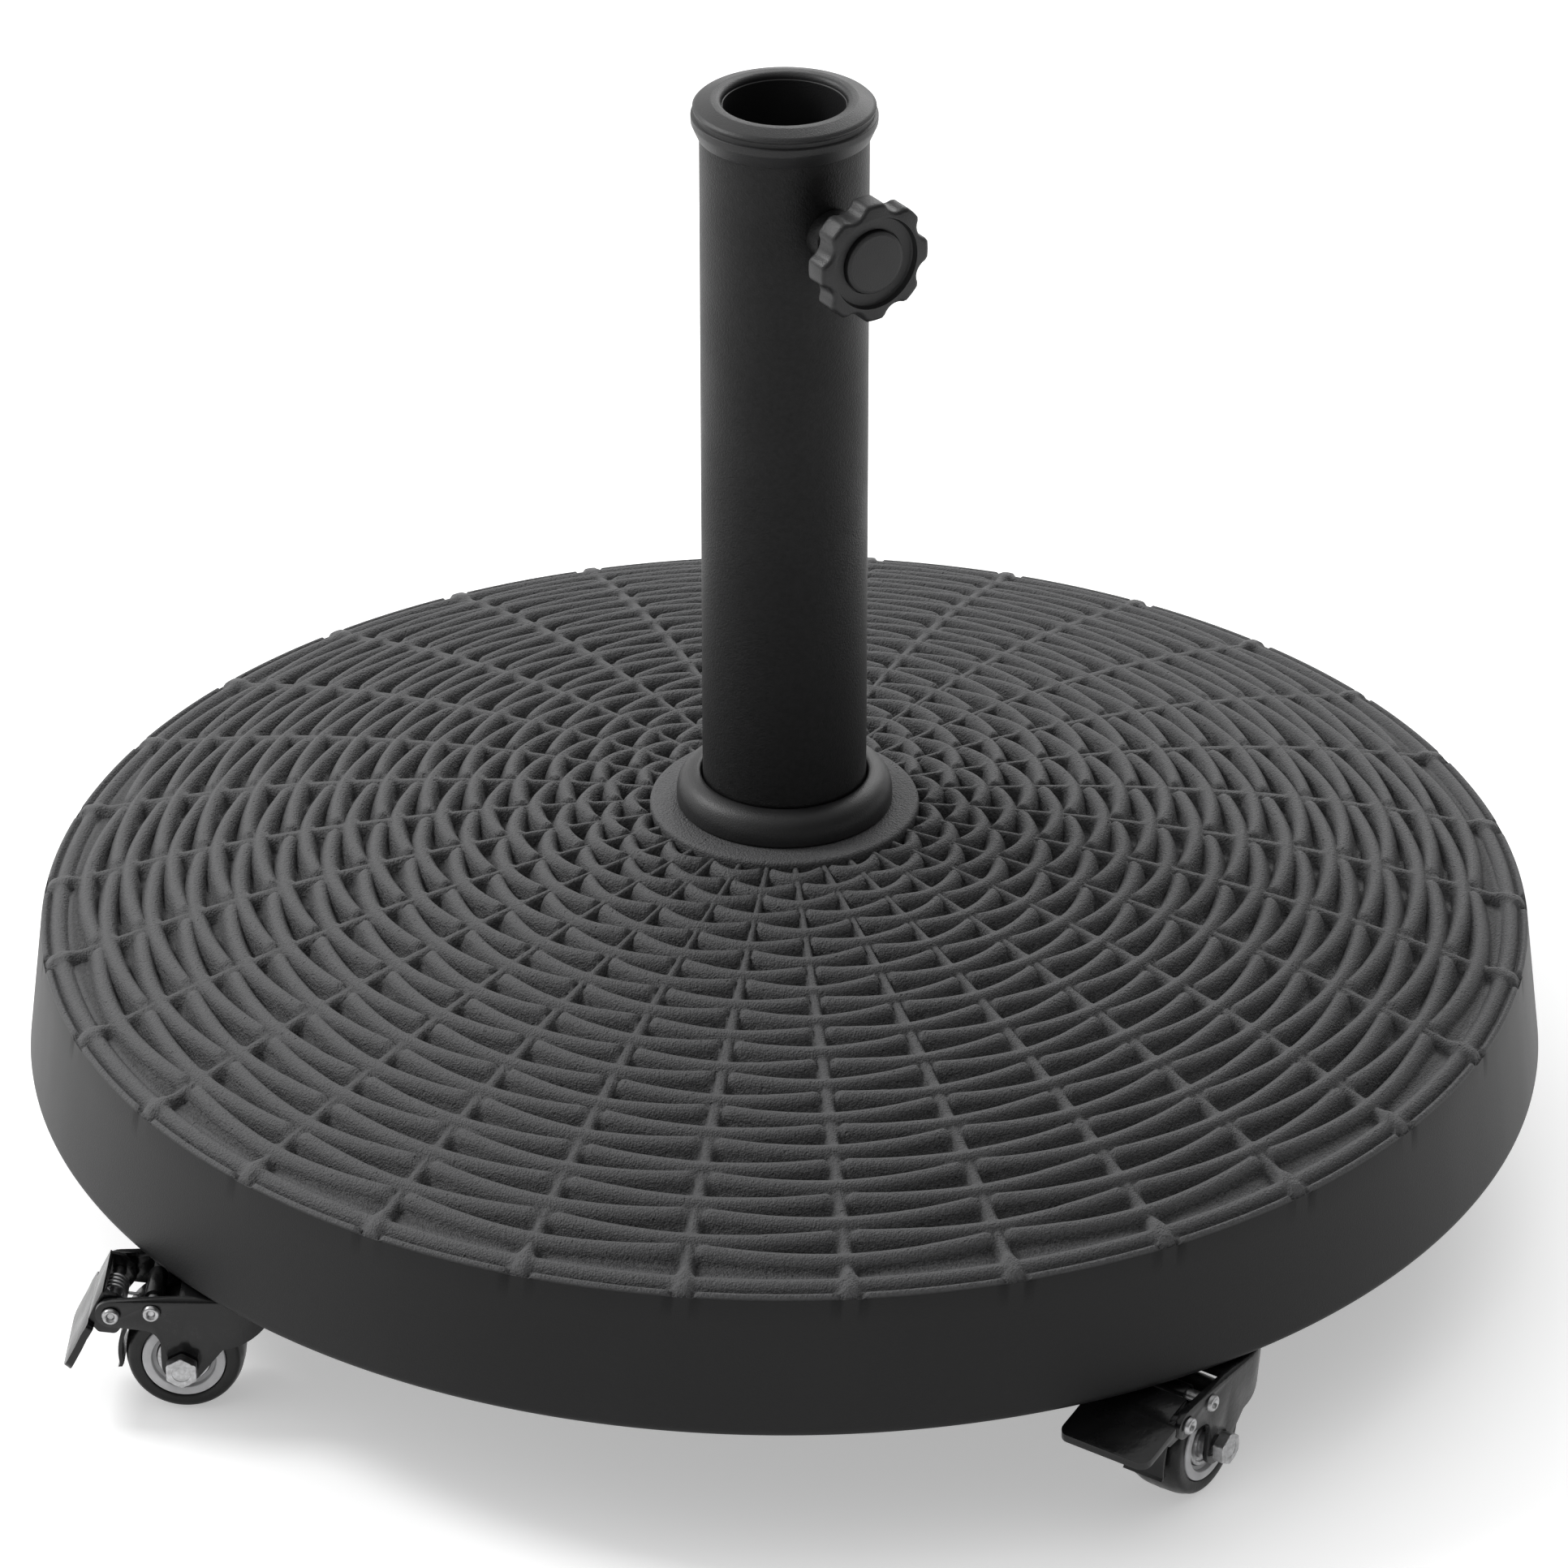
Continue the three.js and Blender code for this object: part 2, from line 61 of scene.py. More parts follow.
# ---- sizes, from the frame where it has them ----
DISC_LOW, DISC_HIGH = mm_box("base_disc")
FOOT_R = DISC_HIGH.x                       # outer radius at the disc's lower edge
DISC_BOTTOM = DISC_LOW.z
HUB_Z = DISC_HIGH.z
RIM_Z = HUB_Z - 37.6                       # plane of the stake ends
TUBE_LOW, TUBE_HIGH = mm_box("pole_tube")
TUBE_R = TUBE_HIGH.x
TUBE_BORE_R = TUBE_R - 1.5
COLLAR_LOW, COLLAR_HIGH = mm_box("base_collar")
CAP_LOW, CAP_HIGH = mm_box("top_cap")
CAP_R = CAP_HIGH.x
CAP_HOLE_R = 20.35
PLATE_LOW, PLATE_HIGH = mm_box("tube_end_plate")
BOLT_LOW, BOLT_HIGH = mm_box("centre_bolt")
WASHER_LOW, WASHER_HIGH = mm_box("centre_washer")

HUB_R = 46.5
WALL_R = 257.9                             # side wall's outer radius at its top
RECESS_R = 24
RECESS_TOP = 60.5
BOLT_R = 6

STAKES = 30
RINGS = 25
STAKE_HALF = 1.5                           # half width of a stake's top
WEAVE_DEPTH = 6.4
POCKET_R = 15                              # pocket over each castor, under the disc

KNOB_FACE = 55
KNOB_R = 20.8
KNOB_LOBES = 8
KNOB_NOTCH_R = 5.2
KNOB_NOTCH_DEPTH = 2.7
KNOB_RIM_T = 9.7
SCREW_R = 4
SCREW_HOLE_R = SCREW_R + 0.5               # in the tube's wall

WHEEL_R = 20
TRAIL = 16
TYRE_HALF = 10
RIM_R = 14
BEARING_R = 9
AXLE_R = 3
FORK_HALF = 16.6
FORK_T = 2.1
FORK_TOP = 28
FORK_TAPER = 0.0058
PEDAL_PIN = (-22.8, 21)
SHOE_PIN = (-9.3, 22.4)
PIN_HOLE_R = 2.3
CASTOR_NAMES = ("front_left", "front_right", "back_right", "back_left")
PRESSED = "front_left"                     # the castor whose brake rests on
PEDAL_DOWN = math.radians(49)
SHOE_CLOSED = math.radians(4)


# ---- camera, floor and light ----
def make_camera():
    azimuth, elevation = math.radians(7.3), math.radians(28.915)
    data = bpy.data.cameras.new("camera")
    data.lens = 168.9
    data.sensor_width = 36
    data.clip_end = 50
    camera = bpy.data.objects.new("camera", data)
    camera.location = (0.28223, -2.20440, 1.37040)
    camera.rotation_euler = (math.pi / 2 - elevation, 0, azimuth)
    bpy.context.scene.collection.objects.link(camera)
    bpy.context.scene.camera = camera


def area_light(name, place, target, size, power, color=(1, 1, 1)):
    data = bpy.data.lights.new(name, "AREA")
    data.shape = "RECTANGLE"
    data.size, data.size_y = size
    data.energy = power
    data.color = color
    light = bpy.data.objects.new(name, data)
    light.location = place
    direction = Vector(target) - Vector(place)
    light.rotation_euler = direction.to_track_quat("-Z", "Y").to_euler()
    bpy.context.scene.collection.objects.link(light)


def make_stage():
    bm = bmesh.new()
    bmesh.ops.create_grid(bm, x_segments=1, y_segments=1, size=30)
    mesh = bpy.data.meshes.new("floor")
    bm.to_mesh(mesh)
    bm.free()
    floor = bpy.data.objects.new("floor", mesh)
    bpy.context.scene.collection.objects.link(floor)
    material = bpy.data.materials.new("floor")
    material.use_nodes = True
    shader = material.node_tree.nodes["Principled BSDF"]
    shader.inputs["Base Color"].default_value = (0.86, 0.86, 0.86, 1)
    shader.inputs["Roughness"].default_value = 0.9
    shader.inputs["Specular IOR Level"].default_value = 0.1
    shader.inputs["Emission Color"].default_value = (1, 1, 1, 1)
    shader.inputs["Emission Strength"].default_value = 0.40
    mesh.materials.append(material)

    world = bpy.data.worlds.new("studio")
    world.use_nodes = True
    tree = world.node_tree
    background = tree.nodes["Background"]
    background.inputs["Color"].default_value = (1, 1, 1, 1)
    direction = tree.nodes.new("ShaderNodeTexCoord")
    facing = tree.nodes.new("ShaderNodeVectorMath")
    facing.operation = "DOT_PRODUCT"
    facing.inputs[1].default_value = (-0.60, 0.62, 0.50)
    strength = tree.nodes.new("ShaderNodeMapRange")
    strength.inputs["From Min"].default_value = -0.5
    strength.inputs["From Max"].default_value = 1.0
    strength.inputs["To Min"].default_value = 0.05
    strength.inputs["To Max"].default_value = 1.3
    tree.links.new(direction.outputs["Generated"], facing.inputs[0])
    tree.links.new(facing.outputs["Value"], strength.inputs["Value"])
    tree.links.new(strength.outputs["Result"], background.inputs["Strength"])
    bpy.context.scene.world = world
    area_light("key", (-2.0, 0.3, 1.9), (0, 0, 0.1), (0.8, 0.8), 35)
    area_light("rim", (0.6, 2.4, 1.6), (0, 0, 0.15), (1.8, 0.8), 22)
    view = bpy.context.scene.view_settings
    view.view_transform = "Standard"
    view.look = "None"


# ---- materials ----
class Shader:
    """A node material on the Principled shader, with short calls for what the object's surfaces share."""

    def __init__(self, name, color, roughness, metallic=0.0, specular=0.5, coat=0.0):
        self.material = bpy.data.materials.new(name)
        self.material.use_nodes = True
        self.tree = self.material.node_tree
        self.shader = self.tree.nodes["Principled BSDF"]
        self.set("Base Color", (*color, 1))
        self.set("Roughness", roughness)
        self.set("Metallic", metallic)
        self.set("Specular IOR Level", specular)
        self.set("Coat Weight", coat)
        self.place = self.tree.nodes.new("ShaderNodeTexCoord").outputs["Object"]

    def set(self, socket, value):
        self.shader.inputs[socket].default_value = value

    def link(self, source, target):
        self.tree.links.new(source, target)

    def noise(self, scale, detail=4.0, roughness=0.5, stretch=None):
        """Noise in object space. scale is in features a metre."""
        node = self.tree.nodes.new("ShaderNodeTexNoise")
        node.inputs["Scale"].default_value = scale
        node.inputs["Detail"].default_value = detail
        node.inputs["Roughness"].default_value = roughness
        if stretch:
            mapping = self.tree.nodes.new("ShaderNodeMapping")
            mapping.inputs["Scale"].default_value = stretch
            self.link(self.place, mapping.inputs["Vector"])
            self.link(mapping.outputs["Vector"], node.inputs["Vector"])
        else:
            self.link(self.place, node.inputs["Vector"])
        return node.outputs["Fac"]

    def cells(self, scale):
        node = self.tree.nodes.new("ShaderNodeTexVoronoi")
        node.inputs["Scale"].default_value = scale
        self.link(self.place, node.inputs["Vector"])
        return node.outputs["Distance"]

    def ramp(self, source, stops):
        """stops are (position, value) with value a number or a colour."""
        node = self.tree.nodes.new("ShaderNodeValToRGB")
        elements = node.color_ramp.elements
        while len(elements) < len(stops):
            elements.new(0.5)
        for element, (position, value) in zip(elements, stops):
            element.position = position
            rgb = value if isinstance(value, tuple) else (value,) * 3
            element.color = (*rgb, 1)
        self.link(source, node.inputs["Fac"])
        return node.outputs["Color"]

    def mix(self, factor, one, two, kind="MIX"):
        node = self.tree.nodes.new("ShaderNodeMix")
        node.data_type = "RGBA"
        node.blend_type = kind
        for name, value in (("Factor", factor), ("A", one), ("B", two)):
            socket = node.inputs[name]
            if isinstance(value, bpy.types.NodeSocket):
                self.link(value, socket)
            elif isinstance(value, tuple):
                socket.default_value = (*value, 1)
            else:
                socket.default_value = value
        return next(o for o in node.outputs if o.type == "RGBA")

    def attribute(self, name):
        node = self.tree.nodes.new("ShaderNodeAttribute")
        node.attribute_name = name
        return node.outputs["Fac"]

    def edges(self):
        """Bright on convex edges, dark in hollows."""
        node = self.tree.nodes.new("ShaderNodeNewGeometry")
        return node.outputs["Pointiness"]

    def color(self, source):
        self.link(source, self.shader.inputs["Base Color"])

    def rough(self, source):
        self.link(source, self.shader.inputs["Roughness"])

    def bump(self, *layers):
        """layers are (height source, depth in metres)."""
        normal = None
        for source, depth in layers:
            node = self.tree.nodes.new("ShaderNodeBump")
            node.inputs["Strength"].default_value = 1.0
            node.inputs["Distance"].default_value = depth
            self.link(source, node.inputs["Height"])
            if normal:
                self.link(normal, node.inputs["Normal"])
            normal = node.outputs["Normal"]
        self.link(normal, self.shader.inputs["Normal"])


def cast_resin():
    look = Shader("cast_resin", (0.04, 0.04, 0.042), 0.6, specular=0.3)
    black = (0, 0, 0)
    grainy = look.attribute("grainy")
    # The crest attribute is 1 on the weave's crests and 0 in its hollows; it drives painted highlight on the
    # crests and painted shade in the hollows of the top's colour.
    wear_and_crest_light = look.attribute("crest")
    blotch = look.noise(22, 3)
    stain = look.noise(9, 4, 0.6, stretch=(1, 1, 0.25))
    grain = look.noise(900, 3, 0.6)
    fine = look.noise(2200, 2, 0.6)
    sand = look.cells(1500)
    pits = look.ramp(look.cells(260), ((0.05, 0.0), (0.16, 1.0)))
    hollow = look.ramp(blotch, ((0.35, (0.030, 0.030, 0.031)), (0.65, (0.042, 0.042, 0.043))))
    # Painted highlight and shade: the crests get a lighter grey, and the hollows keep the darker blotched
    # tone.
    rough_top = look.mix(wear_and_crest_light, hollow, (0.074, 0.074, 0.076))
    speckled = look.mix(look.ramp(grain, ((0.42, 0.0), (0.62, 0.45))), rough_top, (0.11, 0.11, 0.112))
    # Painted shade: the smooth side wall is the same resin as the top but gets a colour about three times
    # darker, for a wall that the light from above barely reaches.
    smooth_wall = look.ramp(stain, ((0.35, (0.009, 0.009, 0.0093)), (0.65, (0.014, 0.014, 0.0144))))
    look.color(look.mix(grainy, smooth_wall, speckled))
    shine = look.mix(grainy, (0.20, 0.20, 0.20), (0.30, 0.30, 0.30))
    look.link(shine, look.shader.inputs["Specular IOR Level"])
    wall_rough = look.ramp(stain, ((0.3, 0.40), (0.7, 0.50)))
    top_rough = look.ramp(grain, ((0.3, 0.50), (0.7, 0.68)))
    look.rough(look.mix(grainy, wall_rough, top_rough))
    look.bump((look.mix(grainy, black, grain), 0.0004), (look.mix(grainy, black, sand), 0.00025),
              (look.mix(grainy, black, pits), 0.0003), (fine, 0.00008))
    return look.material


def powder_coat():
    look = Shader("powder_coat", (0.012, 0.012, 0.012), 0.5, specular=0.25)
    fine = look.noise(1400, 2, 0.6)
    look.color(look.ramp(look.noise(500, 2), ((0.3, (0.004, 0.004, 0.0041)), (0.7, (0.009, 0.009, 0.0093)))))
    look.rough(look.ramp(look.noise(30, 3), ((0.3, 0.44), (0.7, 0.54))))
    look.bump((fine, 0.00022))
    return look.material


def black_plastic():
    look = Shader("black_plastic", (0.014, 0.014, 0.0145), 0.42, specular=0.4)
    fine = look.noise(2200, 2)
    look.color(look.ramp(look.noise(60, 3), ((0.3, (0.011, 0.011, 0.0115)), (0.7, (0.017, 0.017, 0.0175)))))
    look.rough(look.ramp(look.noise(45, 3), ((0.3, 0.38), (0.7, 0.48))))
    look.bump((fine, 0.00012))
    return look.material


def black_steel():
    look = Shader("black_steel", (0.007, 0.007, 0.0075), 0.25, specular=0.3, coat=0.12)
    look.set("Coat Roughness", 0.12)
    peel = look.noise(350, 2)
    wear_and_crest_light = look.ramp(look.edges(), ((0.52, 0.0), (0.60, 1.0)))
    scuffs = look.ramp(look.noise(240, 5, 0.7), ((0.55, 0.0), (0.75, 0.6)))
    edge = look.mix(scuffs, (0, 0, 0), wear_and_crest_light)
    look.color(look.mix(edge, (0.006, 0.006, 0.0063), (0.045, 0.045, 0.047)))
    look.rough(look.ramp(look.noise(90, 4), ((0.3, 0.20), (0.7, 0.34))))
    look.bump((peel, 0.00012))
    return look.material


def zinc():
    look = Shader("zinc", (0.60, 0.60, 0.61), 0.3, metallic=1.0)
    look.color(look.ramp(look.noise(700, 4, 0.6), ((0.3, (0.30, 0.30, 0.30)), (0.7, (0.50, 0.50, 0.51)))))
    look.rough(look.ramp(look.noise(400, 4), ((0.3, 0.30), (0.7, 0.46))))
    look.bump((look.noise(1500, 2), 0.00006))
    return look.material


def grey_plastic():
    look = Shader("grey_plastic", (0.5, 0.5, 0.51), 0.42)
    look.color(look.ramp(look.noise(120, 4), ((0.3, (0.43, 0.43, 0.44)), (0.7, (0.56, 0.56, 0.57)))))
    look.rough(look.ramp(look.noise(150, 3), ((0.3, 0.36), (0.7, 0.5))))
    look.bump((look.noise(1800, 2), 0.00005))
    return look.material


def tyre_rubber():
    look = Shader("tyre", (0.008, 0.008, 0.008), 0.32, specular=0.3)
    clean, dusty = (0.006, 0.006, 0.006), (0.013, 0.013, 0.0125)
    dust = look.ramp(look.noise(160, 5, 0.65), ((0.45, clean), (0.75, dusty)))
    look.color(dust)
    look.rough(look.ramp(look.noise(220, 4), ((0.3, 0.26), (0.7, 0.42))))
    look.bump((look.noise(1200, 3), 0.00008))
    return look.material


LOOKS = {}


def look_for(slot):
    makers = {
        "cast_resin": cast_resin,
        "powder_coat": powder_coat,
        "black_plastic": black_plastic,
        "black_steel": black_steel,
        "zinc": zinc,
        "grey_plastic": grey_plastic,
        "tyre": tyre_rubber,
    }
    if slot not in LOOKS:
        LOOKS[slot] = makers[slot]()
    return LOOKS[slot]


SLOT_OF = {part["node"]: part["material_slot"] for part in frame["record"]["subparts"]}
BODY_OF = {node: body for body, nodes in frame["record"]["behaviour"]["bodies"].items() for node in nodes}


# ---- mesh helpers: millimetres until piece() ----
def mesh_of(vertices, faces, name="mesh"):
    mesh = bpy.data.meshes.new(name)
    mesh.from_pydata([tuple(v) for v in vertices], [], faces)
    mesh.validate()
    bm = bmesh.new()
    bm.from_mesh(mesh)
    bmesh.ops.recalc_face_normals(bm, faces=bm.faces)
    bm.to_mesh(mesh)
    bm.free()
    return mesh


def piece(name, mesh, node, place=Matrix.Identity(4), slot=None, stands_for=True, smooth=35):
    """Puts a finished mesh in the scene as a piece that rides on its node's body."""
    mesh.transform(Matrix.Scale(MM, 4) @ place)
    mesh.name = name
    thing = bpy.data.objects.new(name, mesh)
    bpy.context.scene.collection.objects.link(thing)
    slot = slot or SLOT_OF[node]
    mesh.materials.clear()
    mesh.materials.append(look_for(slot))
    shade(mesh, smooth)
    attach(thing, BODY_OF[node])
    if stands_for:
        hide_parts(node)
    return thing


def shade(mesh, angle):
    """Smooth shading with hard edges above angle degrees."""
    bm = bmesh.new()
    bm.from_mesh(mesh)
    bmesh.ops.recalc_face_normals(bm, faces=bm.faces)
    limit = math.radians(angle)
    for face in bm.faces:
        face.smooth = True
    for edge in bm.edges:
        edge.smooth = len(edge.link_faces) != 2 or edge.calc_face_angle(0) < limit
    bm.to_mesh(mesh)
    bm.free()


def lathe(profile, segments=96):
    """A turned mesh about +Z from (radius, height) points.

    Points on the axis become poles. A profile that starts away from the axis is closed into a ring.
    """
    vertices, faces, rows = [], [], []
    for r, z in profile:
        if r < 1e-6:
            rows.append([len(vertices)] * segments)
            vertices.append((0, 0, z))
        else:
            rows.append(range(len(vertices), len(vertices) + segments))
            for i in range(segments):
                a = 2 * math.pi * i / segments
                vertices.append((r * math.cos(a), r * math.sin(a), z))
    closed = profile[0][0] > 1e-6
    for low, high in zip(rows, rows[1:] + rows[:1] if closed else rows[1:]):
        for i in range(segments):
            j = (i + 1) % segments
            loop = []
            for v in (low[i], low[j], high[j], high[i]):
                if v not in loop:
                    loop.append(v)
            if len(loop) > 2:
                faces.append(loop)
    return mesh_of(vertices, faces)


def rounded(corners, steps=4):
    """Profile points from (x, y, radius) corners, with an arc at each corner that has a radius."""
    points = []
    count = len(corners)
    for i, (x, y, radius) in enumerate(corners):
        if radius <= 0:
            points.append((x, y))
            continue
        here = Vector((x, y))
        back = (Vector(corners[i - 1][:2]) - here).normalized()
        ahead = (Vector(corners[(i + 1) % count][:2]) - here).normalized()
        half = back.angle(ahead) / 2
        if half > math.radians(88):
            points.append((x, y))
            continue
        reach = radius / math.tan(half)
        start, end = here + back * reach, here + ahead * reach
        centre = here + (back + ahead).normalized() * (radius / math.sin(half))
        a = math.atan2(*(start - centre).yx)
        b = math.atan2(*(end - centre).yx)
        turn = (b - a + math.pi) % (2 * math.pi) - math.pi
        for s in range(steps + 1):
            angle = a + turn * s / steps
            points.append((centre.x + radius * math.cos(angle), centre.y + radius * math.sin(angle)))
    return points


def arc(cx, cy, radius, start, end, steps):
    """Points on an arc, angles in degrees."""
    return [
        (cx + radius * math.cos(math.radians(a)), cy + radius * math.sin(math.radians(a)))
        for a in np.linspace(start, end, steps + 1)
    ]


def loft(outline_at, levels):
    """A closed mesh through copies of an outline.

    outline_at(inset) gives the outline's points, and levels are (inset, height).
    """
    vertices, faces = [], []
    count = len(outline_at(0))
    for inset, z in levels:
        vertices += [(x, y, z) for x, y in outline_at(inset)]
    for k in range(len(levels) - 1):
        for i in range(count):
            j = (i + 1) % count
            a, b = k * count, (k + 1) * count
            faces.append((a + i, a + j, b + j, b + i))
    faces.append(tuple(reversed(range(count))))
    top = (len(levels) - 1) * count
    faces.append(tuple(range(top, top + count)))
    return mesh_of(vertices, faces)


def extrude(points, low, high):
    return loft(lambda inset: points, [(0, low), (0, high)])


def quadratic(start, bend, end, steps):
    """Points on a quadratic curve at the given fractions of its run."""
    start, bend, end = Vector(start), Vector(bend), Vector(end)
    return [tuple(start * (1 - t) ** 2 + bend * 2 * t * (1 - t) + end * t * t) for t in steps]


def sideways(points, half):
    """A side outline in (along, up), pushed out evenly to both sides of the middle plane."""
    mesh = extrude(points, -half, half)
    mesh.transform(Matrix.Rotation(math.pi / 2, 4, "X"))
    return mesh


def along_y(mesh, offset=(0, 0)):
    """Turns a mesh made about +Z so that its high end points to -Y, and puts its axis at (along, up)."""
    mesh.transform(Matrix.Translation((offset[0], 0, offset[1])) @ Matrix.Rotation(math.pi / 2, 4, "X"))
    return mesh


def moved(mesh, x=0, y=0, z=0):
    mesh.transform(Matrix.Translation((x, y, z)))
    return mesh


def hexagon(across, low, high, chamfer):
    """A hexagon head with its top chamfered to a circle, made as a stack of outlines."""
    apothem = across / 2

    def ring(limit):
        points = []
        for i in range(48):
            a = 2 * math.pi * (i + 0.5) / 48
            flat = apothem / math.cos((a + math.pi / 6) % (math.pi / 3) - math.pi / 6)
            points.append((min(flat, limit) * math.cos(a), min(flat, limit) * math.sin(a)))
        return points

    corner = apothem / math.cos(math.pi / 6)
    levels = [
        (corner, low),
        (corner, high - chamfer),
        (corner * 0.97, high - chamfer * 0.4),
        (apothem, high),
    ]
    return loft(lambda limit: ring(limit or corner), levels)


def combine(base, *others, operation="DIFFERENCE"):
    """Cuts or joins meshes, and gives back a new one."""
    thing = bpy.data.objects.new("work", base)
    bpy.context.scene.collection.objects.link(thing)
    helpers = []
    for other in others:
        helper = bpy.data.objects.new("tool", other)
        bpy.context.scene.collection.objects.link(helper)
        modifier = thing.modifiers.new("combine", "BOOLEAN")
        modifier.operation = operation
        modifier.solver = "MANIFOLD"
        modifier.object = helper
        helpers.append(helper)
    result = applied(thing)
    for helper in helpers:
        bpy.data.objects.remove(helper)
    return result


def join(base, *others):
    return combine(base, *others, operation="UNION")


def applied(thing):
    graph = bpy.context.evaluated_depsgraph_get()
    mesh = bpy.data.meshes.new_from_object(thing.evaluated_get(graph))
    bpy.data.objects.remove(thing)
    return mesh


def softened(mesh, width, segments=2, angle=30):
    """Merges flat faces and rounds the edges sharper than angle."""
    bm = bmesh.new()
    bm.from_mesh(mesh)
    bmesh.ops.remove_doubles(bm, verts=bm.verts, dist=1e-3)
    bmesh.ops.dissolve_limit(bm, angle_limit=math.radians(1), verts=bm.verts, edges=bm.edges)
    bm.to_mesh(mesh)
    bm.free()
    thing = bpy.data.objects.new("work", mesh)
    bpy.context.scene.collection.objects.link(thing)
    modifier = thing.modifiers.new("edges", "BEVEL")
    modifier.width = width
    modifier.segments = segments
    modifier.limit_method = "ANGLE"
    modifier.angle_limit = math.radians(angle)
    modifier.miter_outer = "MITER_ARC"
    return applied(thing)


# ---- places that the joints give ----
JOINTS = {joint["name"]: joint for joint in frame["joints"]}


def joint_place(name):
    return Vector(JOINTS[name]["pos_m"]) / MM


def joint_axis(name):
    return Vector(JOINTS[name]["axis"])


def knob_place():
    """From the clamp's own frame, +Z outwards from the tube's axis, to the row frame."""
    outward = -joint_axis("knob_turn")
    side = Vector((0, 0, 1)).cross(outward)
    turn = Matrix((side.cross(outward) * -1, side, outward)).transposed().to_4x4()
    return Matrix.Translation(joint_place("knob_turn")) @ turn


def castor_place(name):
    """From a castor's own frame to the row frame.

    The castor's origin is at the wheel's centre, and its +X is the direction of travel.
    """
    axle, swivel = joint_place(f"{name}_roll"), joint_place(f"{name}_swivel")
    travel = Vector((swivel.x - axle.x, swivel.y - axle.y, 0)).normalized()
    turn = Matrix((travel, Vector((0, 0, 1)).cross(travel), Vector((0, 0, 1)))).transposed().to_4x4()
    return Matrix.Translation(axle) @ turn


KNOB_PLACE = knob_place()


# ---- disc ----
SECTOR_STEPS = 24                          # columns of the disc's mesh for each stake
RING_STEPS = 8                             # rows for each ring
CORD_R = 251.3                             # rim cord
CORD_HALF = 3.7
BEAD_R = 256.6
GROOVE_Z = RIM_Z - 3.0
NOTHING = -99                              # height where a strand or bead has no surface


def smoothstep(low, high, value):
    t = np.clip((value - low) / (high - low), 0, 1)
    return t * t * (3 - 2 * t)


def crest_line(r):
    """Height of the dome that the weave's crests touch."""
    return RIM_Z + 38.3 - 5.06e-4 * r**2 - 1.1e-9 * r**4


def bump_round(x):
    """Half-round section: 1 in the middle, 0 at x = 1 and beyond.

    Its sides are a little less steep than a circle's.
    """
    x = np.clip(np.abs(x), 0, 1)
    return 0.45 * np.sqrt(1 - x * x) + 0.55 * (1 - x * x)


def away_from_crest(n, q):
    """0 over the stakes that ring n covers, 1 at the stakes that it dives under."""
    return np.abs((q - n + 1) % 2 - 1)


def ring_centre(n, q, sway):
    """Radius of ring n's middle line at stake number q. Past the last ring this is the hub's edge."""
    if n >= RINGS:
        return np.full_like(q, HUB_R)
    if n < 0:
        return np.full_like(q, CORD_R - CORD_HALF)
    middle = 243.0 - 7.55 * n - 0.015 * n * n
    bow = 3.9 if n % 2 == 0 else 2.8
    bow += 1.0 * float(smoothstep(160, 70, middle))
    return middle - bow * away_from_crest(n, q) ** 1.7 + sway[n]


def weave_height(r, q, sway, lift):
    """Height of the weave below the crest line at radius r and stake number q."""
    narrow = np.clip(r / 150, 0.55, 1.0)
    to_stake = np.abs(q - np.round(q)) * 2 * math.pi / STAKES * r
    depth = WEAVE_DEPTH - 1.9 * smoothstep(236, 246, r)
    floor = -depth + 0.8 * smoothstep(2, 12, to_stake)
    half = STAKE_HALF * narrow + 0.9 * smoothstep(248, 253, r)
    side = (to_stake - half) / (2.6 * narrow)
    ridge = -1.5 + 1.5 * smoothstep(245, 250, r) - 0.25 * np.minimum(to_stake / half, 1) ** 2
    stake = ridge - WEAVE_DEPTH * smoothstep(-0.15, 1.3, side)
    nub = np.clip((r - 254.4) / 3.0, 0, 1)
    stake = stake - 3.6 * (1 - np.sqrt(1 - nub * nub))
    height = np.maximum(floor, stake)
    for n in range(RINGS):
        away = away_from_crest(n, q)
        to_end = (1 - away) * 2 * math.pi / STAKES * r
        over = np.clip((to_end - 1.6 * narrow) / (3.0 * narrow), 0, 1)
        tip = np.sqrt(1 - (1 - over) ** 2)
        crest = lift[n] * (1 - away) - 0.4 * away**1.6 - 4.2 * (1 - tip)
        x = (r - ring_centre(n, q, sway)) / (4.0 * (0.8 + 0.2 * tip))
        strand = np.where(np.abs(x) < 1, crest - 5.6 * (1 - bump_round(x)), NOTHING)
        height = np.maximum(height, strand)
    return height


def rim_height(r, q):
    """Height from the rim cord out to the side wall."""
    to_stake = np.abs(q - np.round(q)) * 2 * math.pi / STAKES * r
    cord = RIM_Z + 1.0 - 4.2 * (1 - bump_round((r - CORD_R) / CORD_HALF))
    cord = np.where(np.abs(r - CORD_R) < CORD_HALF, cord, NOTHING)
    notch = 1 - smoothstep(3.4, 4.8, to_stake)
    bead = RIM_Z - 0.9 - 2.1 * (1 - bump_round((r - BEAD_R) / 1.5)) - 2.0 * notch
    return np.maximum(np.maximum(cord, bead), np.where(r > CORD_R, GROOVE_Z, NOTHING))


